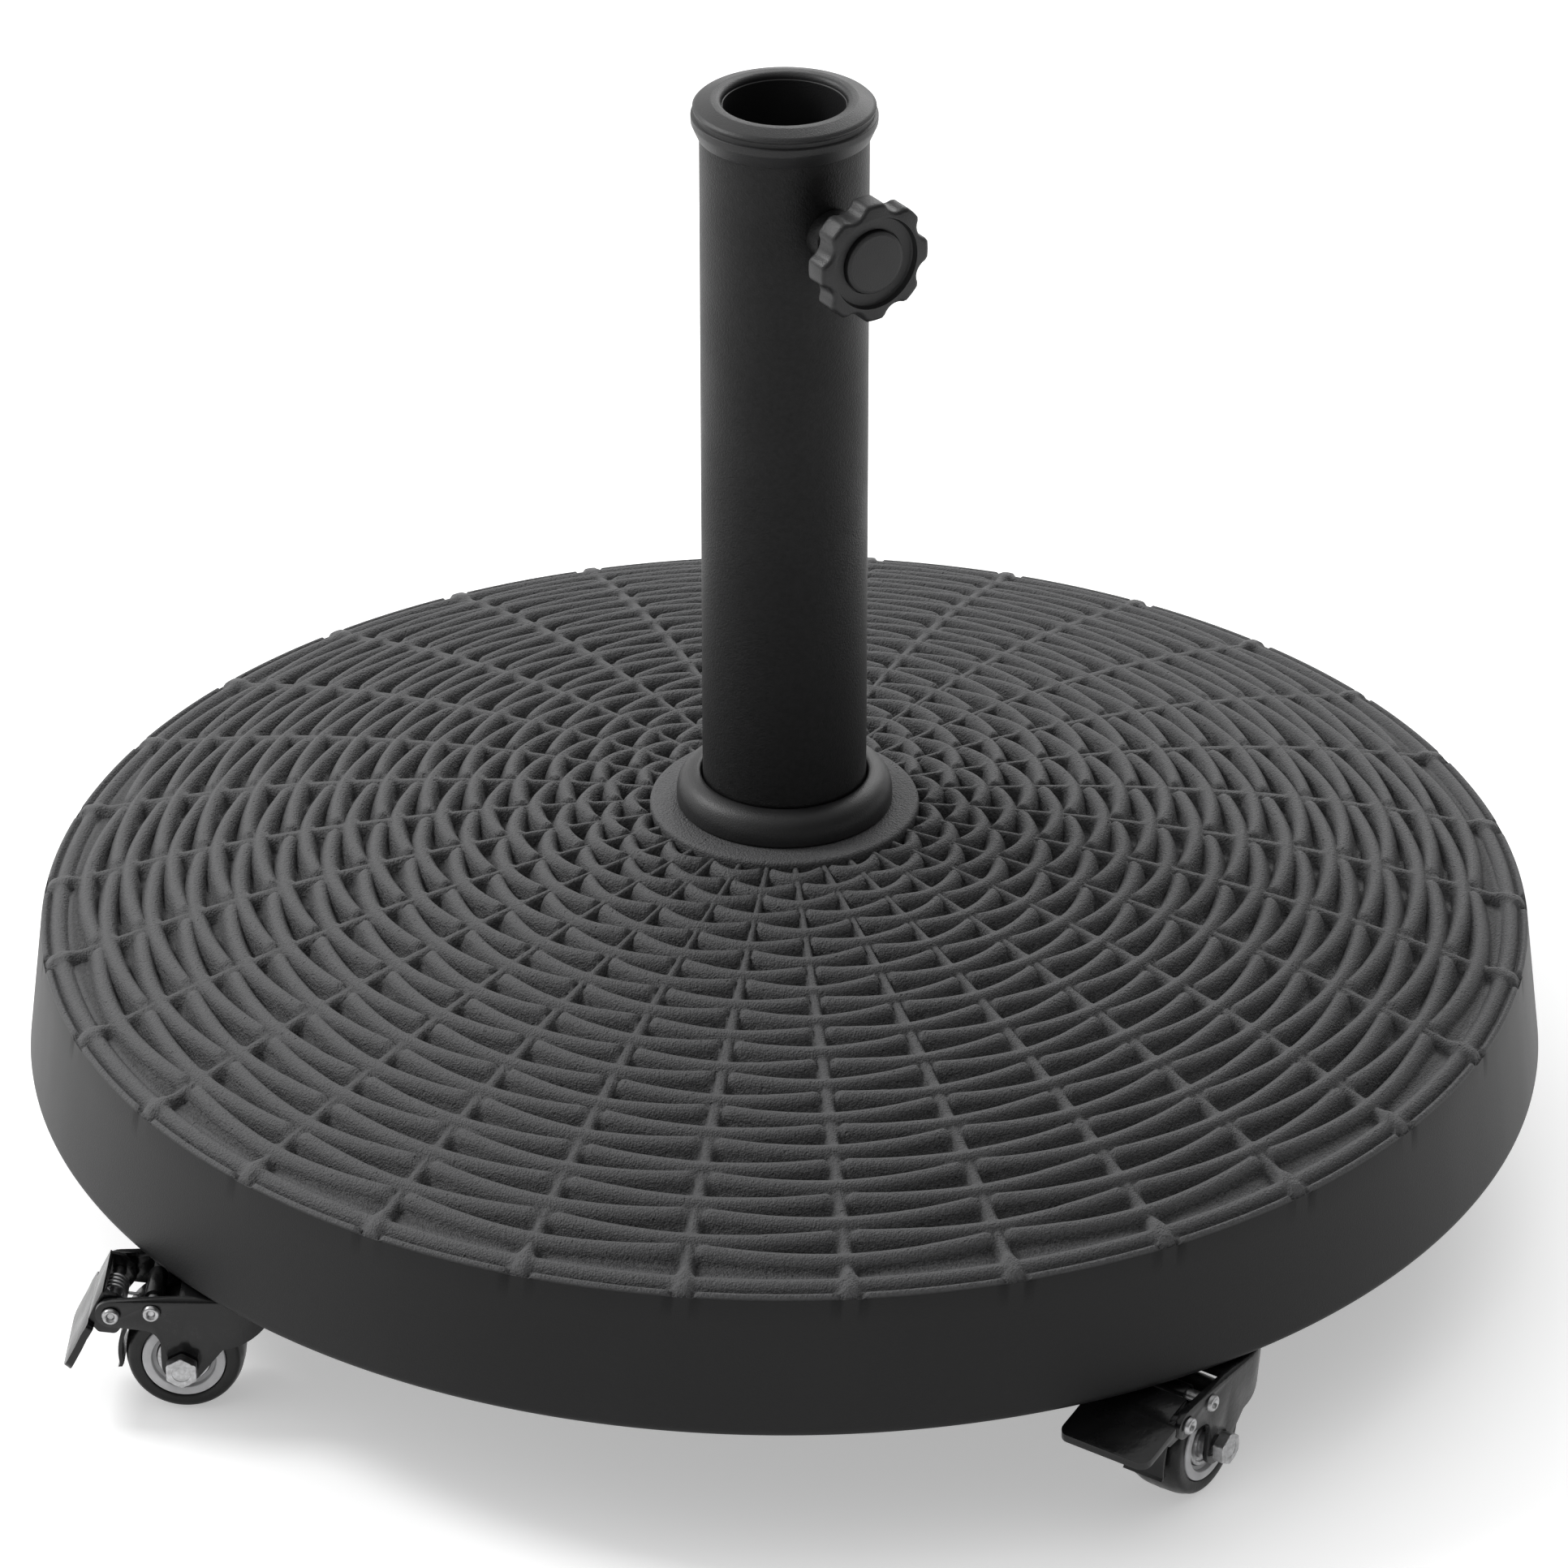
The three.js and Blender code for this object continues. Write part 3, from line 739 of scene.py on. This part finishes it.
def disc_rows():
    """The disc's surface from the hub's edge out to the wall.

    Gives the stake number of each column, and for each point its radius, height and crest value: 1 on the
    weave's crests and 0 in its hollows, for painted highlight on the crests and painted shade in the
    hollows.
    """
    rng = np.random.default_rng(11)
    sway = rng.uniform(-0.25, 0.25, RINGS)
    half = (np.arange(SECTOR_STEPS // 2 + 1) / (SECTOR_STEPS // 2)) ** 1.5 / 2
    sector = np.concatenate([half[:-1], 1 - half[:0:-1]])
    q = np.concatenate([k + sector for k in range(STAKES)])
    wave = rng.uniform(-0.35, 0.15, (RINGS, STAKES + 1))
    wave[:, STAKES] = wave[:, 0]
    nearest = np.round(q).astype(int)
    lift = wave[:, nearest]
    radii = []
    for n in range(RINGS, -1, -1):
        inner, outer = ring_centre(n, q, sway), ring_centre(n - 1, q, sway)
        for step in range(RING_STEPS):
            w = step / RING_STEPS
            w += 0.045 * math.sin(2 * math.pi * w)
            radii.append(inner + (outer - inner) * w)
    for r in np.linspace(CORD_R - CORD_HALF, WALL_R - 0.2, 22):
        radii.append(np.full_like(q, r))
    radii = np.array(radii)
    stake_number = np.broadcast_to(q, radii.shape)
    below = weave_height(radii, stake_number, sway, lift)
    heights = crest_line(radii) + below
    rim = radii > CORD_R - CORD_HALF - 0.1
    heights = np.where(rim, np.maximum(heights, rim_height(radii, stake_number)), heights)
    crest = smoothstep(-3.6, -0.4, np.where(rim, heights - RIM_Z, below))
    return q, radii, heights, crest


def castor_pockets():
    """Tools for the pocket and the stem's hole over each castor."""
    tools = []
    for name in CASTOR_NAMES:
        x, y = joint_place(f"{name}_swivel").xy
        tools.append(moved(lathe([(0, 40), (POCKET_R, 40), (POCKET_R, 56), (0, 56)], 64), x, y))
        tools.append(moved(lathe([(0, 50), (5.4, 50), (5.4, 79), (0, 79)], 32), x, y))
    return tools


def woven_disc():
    q, radii, heights, crest = disc_rows()
    bore = TUBE_R + 0.6
    hub = rounded([(bore, HUB_Z, 0.8), (HUB_R, HUB_Z, 1.6), (HUB_R, HUB_Z - 8, 0)], 3)[:-1]
    wall = rounded([
        (WALL_R, RIM_Z - 2.6, 0),
        (FOOT_R, DISC_BOTTOM, 2.0),
        (RECESS_R, DISC_BOTTOM, 0.8),
        (RECESS_R, RECESS_TOP, 0),
        (BOLT_R + 0.5, RECESS_TOP, 0),
        (BOLT_R + 0.5, TUBE_LOW.z - 0.3, 0),
        (bore, TUBE_LOW.z - 0.3, 0),
    ], 4)
    wall_top = [(WALL_R + (FOOT_R - WALL_R) * t, RIM_Z - 2.6 - 48 * t) for t in np.linspace(0, 0.94, 6)]
    # Rows are (radius, height, crest, grainy); the hub's top gets crest 1, so it takes the crests' painted
    # highlight.
    rows = [(np.full_like(q, r), np.full_like(q, z), 1.0, 1.0) for r, z in hub]
    rows += [(r, z, c, 1.0) for r, z, c in zip(radii, heights, crest)]
    rows += [(np.full_like(q, r), np.full_like(q, z), 0.35, 0.0) for r, z in wall_top + wall[1:]]
    count = len(q)
    angle = np.radians(90 - 360 / STAKES * q)
    points = np.stack([np.stack([r * np.cos(angle), r * np.sin(angle), z], -1) for r, z, _, _ in rows])
    faces = []
    for k in range(len(rows)):
        a, b = k * count, (k + 1) % len(rows) * count
        faces += [(a + i, b + i, b + (i + 1) % count, a + (i + 1) % count) for i in range(count)]
    mesh = mesh_of(points.reshape(-1, 3), faces)
    for name, column in (("crest", 2), ("grainy", 3)):
        values = np.concatenate([np.broadcast_to(row[column], count) for row in rows])
        mesh.attributes.new(name, "FLOAT", "POINT").data.foreach_set("value", values.astype(np.float32))
    piece("woven_disc", combine(mesh, *castor_pockets()), "base_disc", smooth=60)


# ---- tube, collar, cap and what holds the tube down ----
def pole_tube():
    low, high = TUBE_LOW.z, TUBE_HIGH.z
    steps = np.linspace(low + 8, high - 8, 40)
    inside = [(TUBE_BORE_R, z, 0) for z in steps[::-1]]
    outside = [(TUBE_R, z, 0) for z in steps]
    profile = rounded([
        (TUBE_BORE_R, low, 0),
        (TUBE_R, low, 0.5),
        *outside,
        (TUBE_R, high, 0.5),
        (TUBE_BORE_R, high, 0.3),
        *inside,
    ], 3)
    hole = lathe([(0, 15), (SCREW_HOLE_R, 15), (SCREW_HOLE_R, 40), (0, 40)], 32)
    hole.transform(KNOB_PLACE)
    piece("pole_tube_smooth", combine(lathe(profile, 128), hole), "pole_tube")


def base_collar():
    low, high = COLLAR_LOW.z, COLLAR_HIGH.z
    inner, outer = TUBE_R + 0.5, COLLAR_HIGH.x
    shoulder = low + 0.28 * (high - low)
    lip = inner + 0.8
    profile = [(inner, low), (outer - 0.6, low)] + arc(outer - 0.6, low + 0.6, 0.6, -70, 0, 3)
    for a in np.linspace(0, 90, 17):
        c, s = math.cos(math.radians(a)), math.sin(math.radians(a))
        profile.append((lip + (outer - lip) * c**0.9, shoulder + (high - shoulder) * s**0.95))
    profile += [(inner + 0.2, high - 0.3), (inner, high - 0.9)]
    piece("collar", lathe(profile, 128), "base_collar", smooth=60)


def top_cap():
    top, low, skirt = CAP_HIGH.z, CAP_LOW.z, CAP_HIGH.z - 12.4
    plate_r = CAP_R - 0.6
    profile = rounded([
        (CAP_HOLE_R, low, 0.4),
        (CAP_HOLE_R, top - 2.4, 0.1),
        (CAP_HOLE_R + 0.35, top - 2.2, 0.1),
        (CAP_HOLE_R + 0.5, top - 0.1, 1.9),
        (CAP_HOLE_R + 4.2, top, 2.0),
        (CAP_R - 1.5, top - 1.5, 2.0),
        (plate_r, top - 2.4, 0.2),
        (plate_r - 0.2, top - 3.1, 0.2),
        (plate_r - 0.7, top - 3.5, 0.3),
        (plate_r - 0.5, top - 4.9, 0.1),
        (CAP_R, top - 5.2, 0.3),
        (CAP_R, top - 7.6, 2.5),
        (TUBE_R + 1.2, top - 11.3, 1.6),
        (TUBE_R + 0.7, skirt, 0.2),
        (TUBE_R + 0.3, skirt, 0),
        (TUBE_R + 0.3, TUBE_HIGH.z + 0.3, 0),
        (TUBE_BORE_R - 0.3, TUBE_HIGH.z + 0.3, 0),
        (TUBE_BORE_R - 0.3, low, 0.4),
    ], 5)
    piece("cap", lathe(profile, 128), "top_cap", smooth=40)


def hold_down():
    plate = rounded([
        (BOLT_R + 0.4, PLATE_LOW.z, 0),
        (PLATE_HIGH.x, PLATE_LOW.z, 0.5),
        (PLATE_HIGH.x, PLATE_HIGH.z, 0.5),
        (BOLT_R + 0.4, PLATE_HIGH.z, 0.4),
    ], 2)
    piece("end_plate", lathe(plate, 96), "tube_end_plate")
    washer = rounded([
        (BOLT_R + 0.4, WASHER_LOW.z, 0.2),
        (WASHER_HIGH.x, WASHER_LOW.z, 0.6),
        (WASHER_HIGH.x, WASHER_HIGH.z, 0.3),
        (BOLT_R + 0.4, WASHER_HIGH.z, 0),
    ], 2)
    piece("washer", lathe(washer, 96), "centre_washer")
    head_top = WASHER_LOW.z - 0.3
    head = hexagon(19, 0, head_top - BOLT_LOW.z, 1.6)
    head.transform(Matrix.Translation((0, 0, head_top)) @ Matrix.Rotation(math.pi, 4, "X"))
    shank = lathe(threaded(BOLT_R, head_top - 1, BOLT_HIGH.z, 1.75, PLATE_LOW.z), 48)
    piece("bolt", join(head, shank), "centre_bolt")


def threaded(radius, low, high, pitch, start):
    """Profile of a screw with a plain length from low to start, and thread ridges from there to high."""
    depth = 0.5 * pitch
    points = [(0, low), (radius, low), (radius, start)]
    z = start
    while z + pitch < high - 0.6:
        points += [(radius - depth, z + 0.4 * pitch), (radius - depth, z + 0.5 * pitch),
                   (radius, z + 0.9 * pitch), (radius, z + pitch)]
        z += pitch
    return points + [(radius, high - 0.6), (radius - 0.6, high), (0, high)]


# ---- clamp knob, made along +Z from the tube's axis ----
def knob_outline(inset):
    """Eight lobes with a round notch between each two, moved inwards by inset."""
    outer, notch = KNOB_R - inset, KNOB_NOTCH_R + inset
    centre = KNOB_R + KNOB_NOTCH_R - KNOB_NOTCH_DEPTH
    along = (centre**2 + outer**2 - notch**2) / (2 * centre)
    half = math.degrees(math.acos(along / outer))
    inner = math.degrees(math.atan2(outer * math.sin(math.radians(half)), centre - along))
    step = 360 / KNOB_LOBES
    soft = 2.2
    points = []
    for i in range(KNOB_LOBES):
        mid = (i + 0.5) * step
        cx, cy = centre * math.cos(math.radians(mid)), centre * math.sin(math.radians(mid))
        points += arc(cx, cy, notch, mid + 180 + inner - 8, mid + 180 - inner + 8, 7)
        points += arc(0, 0, outer, mid + half + soft, mid + step - half - soft, 6)
    return points


def clamp():
    face, back = KNOB_FACE, KNOB_FACE - KNOB_RIM_T
    levels = [(1.2, back), (0.5, back + 0.35), (0.1, back + 1.0), (0, back + 1.6),
              (0, face - 1.6), (0.15, face - 0.8), (0.6, face - 0.25), (1.4, face)]
    hub = lathe(rounded([
        (0, back - 2.8, 0),
        (10, back - 2.8, 0.8),
        (10, back + 1, 0),
        (0, back + 1, 0),
    ]), 64)
    sink = lathe(rounded([
        (0, face + 1, 0),
        (16.2, face + 1, 0),
        (15.5, face - 2.2, 0.5),
        (0, face - 2.2, 0),
    ]), 96)
    seat = lathe([(0, face), (11.35, face), (11.35, face - 3.1), (0, face - 3.1)], 96)
    head_room = lathe([(0, face), (6.9, face), (6.9, face - 6.3), (0, face - 6.3)], 48)
    bore = lathe([(0, back - 4), (4.3, back - 4), (4.3, face), (0, face)], 48)
    grip = combine(join(loft(knob_outline, levels), hub), sink, seat, head_room, bore)
    piece("knob", grip, "knob_grip", KNOB_PLACE, smooth=40)
    cap = lathe(rounded([
        (0, face - 2.9, 0),
        (10.9, face - 2.9, 0),
        (10.9, face - 0.6, 0.5),
        (9.6, face - 0.25, 1.0),
        (0, face, 0),
    ]), 96)
    piece("knob_centre", cap, "knob_cap", KNOB_PLACE, smooth=50)
    tip = TUBE_BORE_R + 0.3
    shank = lathe([(r, -z) for r, z in threaded(SCREW_R, 5 - face, -tip, 1.25, 12 - face)], 48)
    head = lathe(rounded([
        (0, face - 6, 0),
        (6.6, face - 6, 0.3),
        (6.6, face - 3.4, 0.6),
        (0, face - 3.4, 0),
    ]), 48)
    piece("screw", join(shank, head), "clamp_stud", KNOB_PLACE)
    around = lathe([(0, -30), (TUBE_R + 0.3, -30), (TUBE_R + 0.3, 30), (0, 30)], 192)
    around.transform(Matrix.Rotation(math.pi / 2, 4, "Y"))
    bore = lathe([(0, 0), (4.3, 0), (4.3, 40), (0, 40)], 48)
    block = lathe(rounded([(0, TUBE_R - 4, 0), (9, TUBE_R - 4, 0), (9, 33.6, 1.0), (0, 33.6, 0)]), 64)
    piece("boss", combine(block, around, bore), "clamp_boss", KNOB_PLACE)


# ---- castors, made in their own frame: origin at the wheel's centre, +X the direction of travel ----
def fork_plan(half):
    """Straight cheeks and a round front, seen from above, open towards the back."""
    near = [(-32, -half), (-10, -half), (4, -half)]
    far = [(4, half), (-10, half), (-32, half)]
    return near + arc(TRAIL, 0, half, -90, 90, 24) + far


def fork_side():
    """An arm down to the axle and an ear back to the pedal's pin, seen from the side."""
    nose = [(TRAIL + 18, FORK_TOP + 1), (TRAIL + 18, 24)]
    curve = quadratic((TRAIL + 18, 24), (TRAIL + 14, 11), (13.7, 7), np.linspace(0.1, 1, 9))
    foot = arc(0, 0, 6.9, -34, -180, 14)
    back = quadratic((-6.9, 9.5), (-8.2, 14.6), (-13, 14.8), np.linspace(0, 1, 7))
    ear = arc(*PEDAL_PIN, 5.3, -80, -269, 14)
    return nose + curve + foot + back + ear + [(2, FORK_TOP), (2, FORK_TOP + 1)]


def fork_mesh():
    crown = [(0, -8), (0, FORK_TOP - 2.4)]
    for a in np.radians((20, 40, 60, 78, 90)):
        crown.append((2.4 * (1 - math.cos(a)), FORK_TOP - 2.4 + 2.4 * math.sin(a)))
    outer = loft(lambda inset: fork_plan(FORK_HALF - inset), crown)
    top = FORK_TOP - FORK_T
    hollow = [(0, -9), (0, top - 1)]
    for a in np.radians((30, 60, 90)):
        hollow.append((1 - math.cos(a), top - 1 + math.sin(a)))
    inner = moved(loft(lambda inset: fork_plan(FORK_HALF - FORK_T - inset), hollow), x=-2)
    side = sideways(fork_side(), 20)
    half = FORK_HALF - FORK_T - 0.6
    hole = moved(lathe([(0, 20), (4.4, 20), (4.4, 32), (0, 32)], 32), x=TRAIL)
    body = combine(outer, side, operation="INTERSECT")
    pins = [along_y(lathe([(0, -22), (r, -22), (r, 22), (0, 22)], 32), at)
            for r, at in ((AXLE_R + 0.3, (0, 0)), (PIN_HOLE_R, PEDAL_PIN), (PIN_HOLE_R, SHOE_PIN))]
    body = combine(body, inner, hole, *pins)
    slot = extrude([(-40, -half), (0, -half), (0, half), (-40, half)], FORK_TOP - 5, FORK_TOP + 2)
    body = combine(body, slot)
    body = softened(body, 0.35, 2, 35)
    for vertex in body.vertices:
        vertex.co.y *= 1 - FORK_TAPER * (FORK_TOP - vertex.co.z)
    return body


def tyre_mesh():
    half = TYRE_HALF
    across = np.linspace(-half + 2.0, half - 2.0, 13)
    tread = [(WHEEL_R - 0.12 - 0.9 * (y / (half - 2)) ** 4, y) for y in across]
    tread = [(r + 0.12 * math.exp(-(y / 0.35) ** 2), y) for r, y in tread]
    side = [(RIM_R + 0.3, -half + 0.3), (RIM_R + 0.8, -half), (WHEEL_R - 3.0, -half)]
    side += arc(WHEEL_R - 3.0, -half + 1.9, 1.9, -75, -20, 5)
    far = [(r, -y) for r, y in side][::-1]
    return along_y(lathe(side + tread + far, 128))


def rim_mesh():
    half = TYRE_HALF + 0.2
    face = rounded([
        (BEARING_R + 0.3, -half + 2.2, 0),
        (BEARING_R + 1.5, -half + 1.6, 0.3),
        (BEARING_R + 1.8, -half, 0.4),
        (RIM_R - 0.1, -half, 0.6),
        (RIM_R - 0.1, half, 0.6),
        (BEARING_R + 1.8, half, 0.4),
        (BEARING_R + 1.5, half - 1.6, 0.3),
        (BEARING_R + 0.3, half - 2.2, 0),
    ], 3)
    return along_y(lathe(face, 96))


def bearing_mesh():
    half, inner = TYRE_HALF - 1.2, AXLE_R + 0.3
    sleeve = half + 2.5
    side = [
        (inner, -sleeve),
        (AXLE_R + 1.8, -sleeve),
        (AXLE_R + 2, -sleeve + 0.2),
        (AXLE_R + 2, -half - 0.5),
        (AXLE_R + 3.0, -half - 0.4),
        (AXLE_R + 3.3, -half + 0.4),
        (BEARING_R - 1.6, -half + 0.4),
        (BEARING_R - 1.3, -half - 0.2),
        (BEARING_R - 0.2, -half - 0.2),
        (BEARING_R, -half),
    ]
    return along_y(lathe(side + [(r, -y) for r, y in side][::-1], 96))


def axle_bolt_mesh():
    head = hexagon(10, 14.9, 18.7, 0.45)
    recess = lathe(rounded([(0, 20, 0), (3.3, 20, 0), (3.1, 18.5, 0.2), (0, 18.4, 0)], 2), 48)
    shank = lathe(rounded([(0, -20.5, 0), (AXLE_R, -20.5, 0.6), (AXLE_R, 15.4, 0), (0, 15.4, 0)], 2), 48)
    return along_y(join(combine(head, recess), shank))


def axle_nut_mesh():
    nut = hexagon(10, 14.9, 18.3, 0.7)
    collar = lathe(rounded([(0, 18, 0), (4.4, 18, 0), (4.4, 18.9, 0.5), (0, 18.9, 0)], 3), 48)
    bore = lathe([(0, 10), (AXLE_R + 0.3, 10), (AXLE_R + 0.3, 25), (0, 25)], 48)
    mesh = combine(join(nut, collar), bore)
    mesh.transform(Matrix.Rotation(-math.pi / 2, 4, "X"))
    return mesh


def rivet_mesh(at):
    """Tubular rivet: a rolled lip with a dimple at both ends."""
    dimple = [(0, 16.7), (1.0, 16.8), (1.5, 17.6)]
    lip = dimple + arc(2.1, 17.25, 0.65, 140, 10, 6) + [(3.0, 16.9), (3.0, 16.5), (2, 16.5)]
    return along_y(lathe([(r, -z) for r, z in lip] + lip[::-1], 48), at)


def plate_side(points, thickness):
    """A bent plate seen from the side, from the points of its top, thickness downwards."""
    return points + [(x, z - thickness) for x, z in reversed(points)]


def pedal_mesh():
    px, pz = PEDAL_PIN
    cheek = sideways(rounded([
        (px + 3.4, pz + 6.6, 1.0),
        (px - 8.6, pz + 3.2, 0.8),
        (px - 9.6, pz - 2, 1.5),
        (px - 6.2, pz - 6.8, 2.0),
        (px + 1.5, pz - 6.2, 3.0),
        (px + 5.4, pz - 2.2, 2.0),
        (px + 5.6, pz + 2.4, 1.5),
    ], 4), 12.9)
    around = [(px - 30, pz - 30), (px + 30, pz - 30), (px + 30, pz + 30), (px - 30, pz + 30)]
    between = sideways(around, 11.3)
    bridge = [(px + 3.6, pz + 6.9), (px - 4, pz + 4.95), (px - 9.4, pz + 3.2)]
    narrow = sideways(plate_side(bridge, 1.6), 12.9)
    rise = [(px - 7.7, pz + 3.7), (px - 12.4, pz + 2.75), (px - 17, pz + 1.4), (px - 26.6, pz - 1.0)]
    thick = sideways(plate_side(rise, 2.6), 17)
    plan = rounded([
        (px - 26.6, -17, 3.6),
        (px - 7.7, -17, 1.6),
        (px - 7.7, 17, 1.6),
        (px - 26.6, 17, 3.6),
    ], 6)
    wing = combine(thick, extrude(plan, pz - 12, pz + 12), operation="INTERSECT")
    inner_plan = rounded([
        (px - 25.2, -15.6, 2.4),
        (px - 9.2, -15.6, 1.0),
        (px - 9.2, 15.6, 1.0),
        (px - 25.2, 15.6, 2.4),
    ], 6)
    under = sideways([(x, z - 1.5) for x, z in rise] + [(px - 28, pz - 12), (px - 5, pz - 12)], 17)
    under = combine(under, extrude(inner_plan, pz - 11, pz + 12), operation="INTERSECT")
    wing = combine(wing, under)
    body = join(combine(cheek, between), narrow, wing)
    hole = along_y(lathe([(0, -22), (PIN_HOLE_R, -22), (PIN_HOLE_R, 22), (0, 22)], 32), PEDAL_PIN)
    return softened(combine(body, hole), 0.3, 2, 35)


def tongue_mesh():
    px, pz = SHOE_PIN
    inner, outer = 22.3, 23.7
    foot = [(-inner - 0.6, -4), (-outer - 0.6, -4)]
    band = arc(0, 0, inner, 107, 187, 24) + foot + arc(0, 0, outer, 187, 107, 24)
    eye = along_y(lathe([(0, -7.5), (3.2, -7.5), (3.2, 7.5), (0, 7.5)], 48), (px, pz))
    hole = along_y(lathe([(0, -22), (PIN_HOLE_R, -22), (PIN_HOLE_R, 22), (0, 22)], 32), (px, pz))
    return softened(combine(join(sideways(band, 7.5), eye), hole), 0.25, 2, 35)


def spring_mesh(at):
    """Torsion spring round the pedal's pin: a coil with a leg at each end, swept along one curve."""
    turns, wire, radius, half = 4, 0.6, 3.7, 4.2
    path = [Vector((at[0] + 9.5, -half, at[1] - 1.0))]
    for i in range(turns * 20 + 1):
        a = 2 * math.pi * i / 20 - math.pi / 2
        y = -half + 2 * half * i / (turns * 20)
        path.append(Vector((at[0] + radius * math.cos(a), y, at[1] + radius * math.sin(a))))
    path.append(Vector((at[0] + 9.5, half, at[1] - 5.0)))
    return sweep(path, wire, 10)


def sweep(path, radius, sides):
    """A round wire along a path, closed at both ends."""
    vertices, faces = [], []
    normal = Vector((0, 0, 1))
    for i, point in enumerate(path):
        ahead = (path[min(i + 1, len(path) - 1)] - path[max(i - 1, 0)]).normalized()
        normal = (normal - ahead * normal.dot(ahead)).normalized()
        across = ahead.cross(normal)
        for k in range(sides):
            a = 2 * math.pi * k / sides
            vertices.append(point + (normal * math.cos(a) + across * math.sin(a)) * radius)
    for i in range(len(path) - 1):
        for k in range(sides):
            j = (k + 1) % sides
            a, b = i * sides, (i + 1) * sides
            faces.append((a + k, a + j, b + j, b + k))
    faces.append(tuple(reversed(range(sides))))
    faces.append(tuple(range((len(path) - 1) * sides, len(path) * sides)))
    return mesh_of(vertices, faces)


def stem_mesh():
    low = FORK_TOP - FORK_T - 0.3
    ceiling = DISC_BOTTOM - WHEEL_R + 6.6
    head = lathe(rounded([(0, low - 2.2, 0), (6.8, low - 2.2, 0.6), (6.8, low, 0.2), (0, low, 0)], 2), 48)
    shank = lathe([(0, low - 0.5), (4, low - 0.5), (4, ceiling), (0, ceiling)], 48)
    thread = lathe(threaded(5, ceiling - 1, 58, 1.5, ceiling + 1), 48)
    return join(thread, shank, head, hexagon(15, ceiling - 3.7, ceiling - 0.3, 0.5))


def race_mesh():
    low, high = FORK_TOP + 0.3, DISC_BOTTOM - WHEEL_R + 2.6
    return lathe(rounded([
        (4.4, low, 0),
        (11.8, low, 0.3),
        (13, low + 0.9, 0.6),
        (13, high - 1.2, 0.8),
        (10, high, 0.8),
        (4.4, high, 0),
    ], 3), 64)


def turned_about(mesh, at, angle):
    centre = Vector((at[0], 0, at[1]))
    turn = Matrix.Rotation(-angle, 4, "Y")
    mesh.transform(Matrix.Translation(centre) @ turn @ Matrix.Translation(-centre))
    return mesh


def castor(name):
    place = castor_place(name)
    at_swivel = place @ Matrix.Translation((TRAIL, 0, 0))
    pressed = name == PRESSED

    def part(kind, mesh, where=place, **options):
        return piece(f"{name}_{kind}_fine", mesh, f"{name}_{kind}", where, **options)

    part("stem", stem_mesh(), at_swivel)
    part("race", race_mesh(), at_swivel)
    part("fork", fork_mesh())
    part("axle_bolt", axle_bolt_mesh())
    part("axle_nut", axle_nut_mesh())
    part("tyre", tyre_mesh(), smooth=50)
    part("rim", rim_mesh())
    part("bearing", bearing_mesh())
    part("pedal", turned_about(pedal_mesh(), PEDAL_PIN, PEDAL_DOWN if pressed else 0))
    part("pedal_rivet", rivet_mesh(PEDAL_PIN))
    part("brake_shoe", turned_about(tongue_mesh(), SHOE_PIN, SHOE_CLOSED if pressed else 0))
    part("shoe_rivet", rivet_mesh(SHOE_PIN))
    spring = spring_mesh(PEDAL_PIN)
    piece(f"{name}_spring", spring, f"{name}_fork", place, slot="zinc", stands_for=False, smooth=60)


make_camera()
make_stage()
woven_disc()
pole_tube()
base_collar()
top_cap()
hold_down()
clamp()
for castor_name in CASTOR_NAMES:
    castor(castor_name)

bpy.context.view_layer.update()
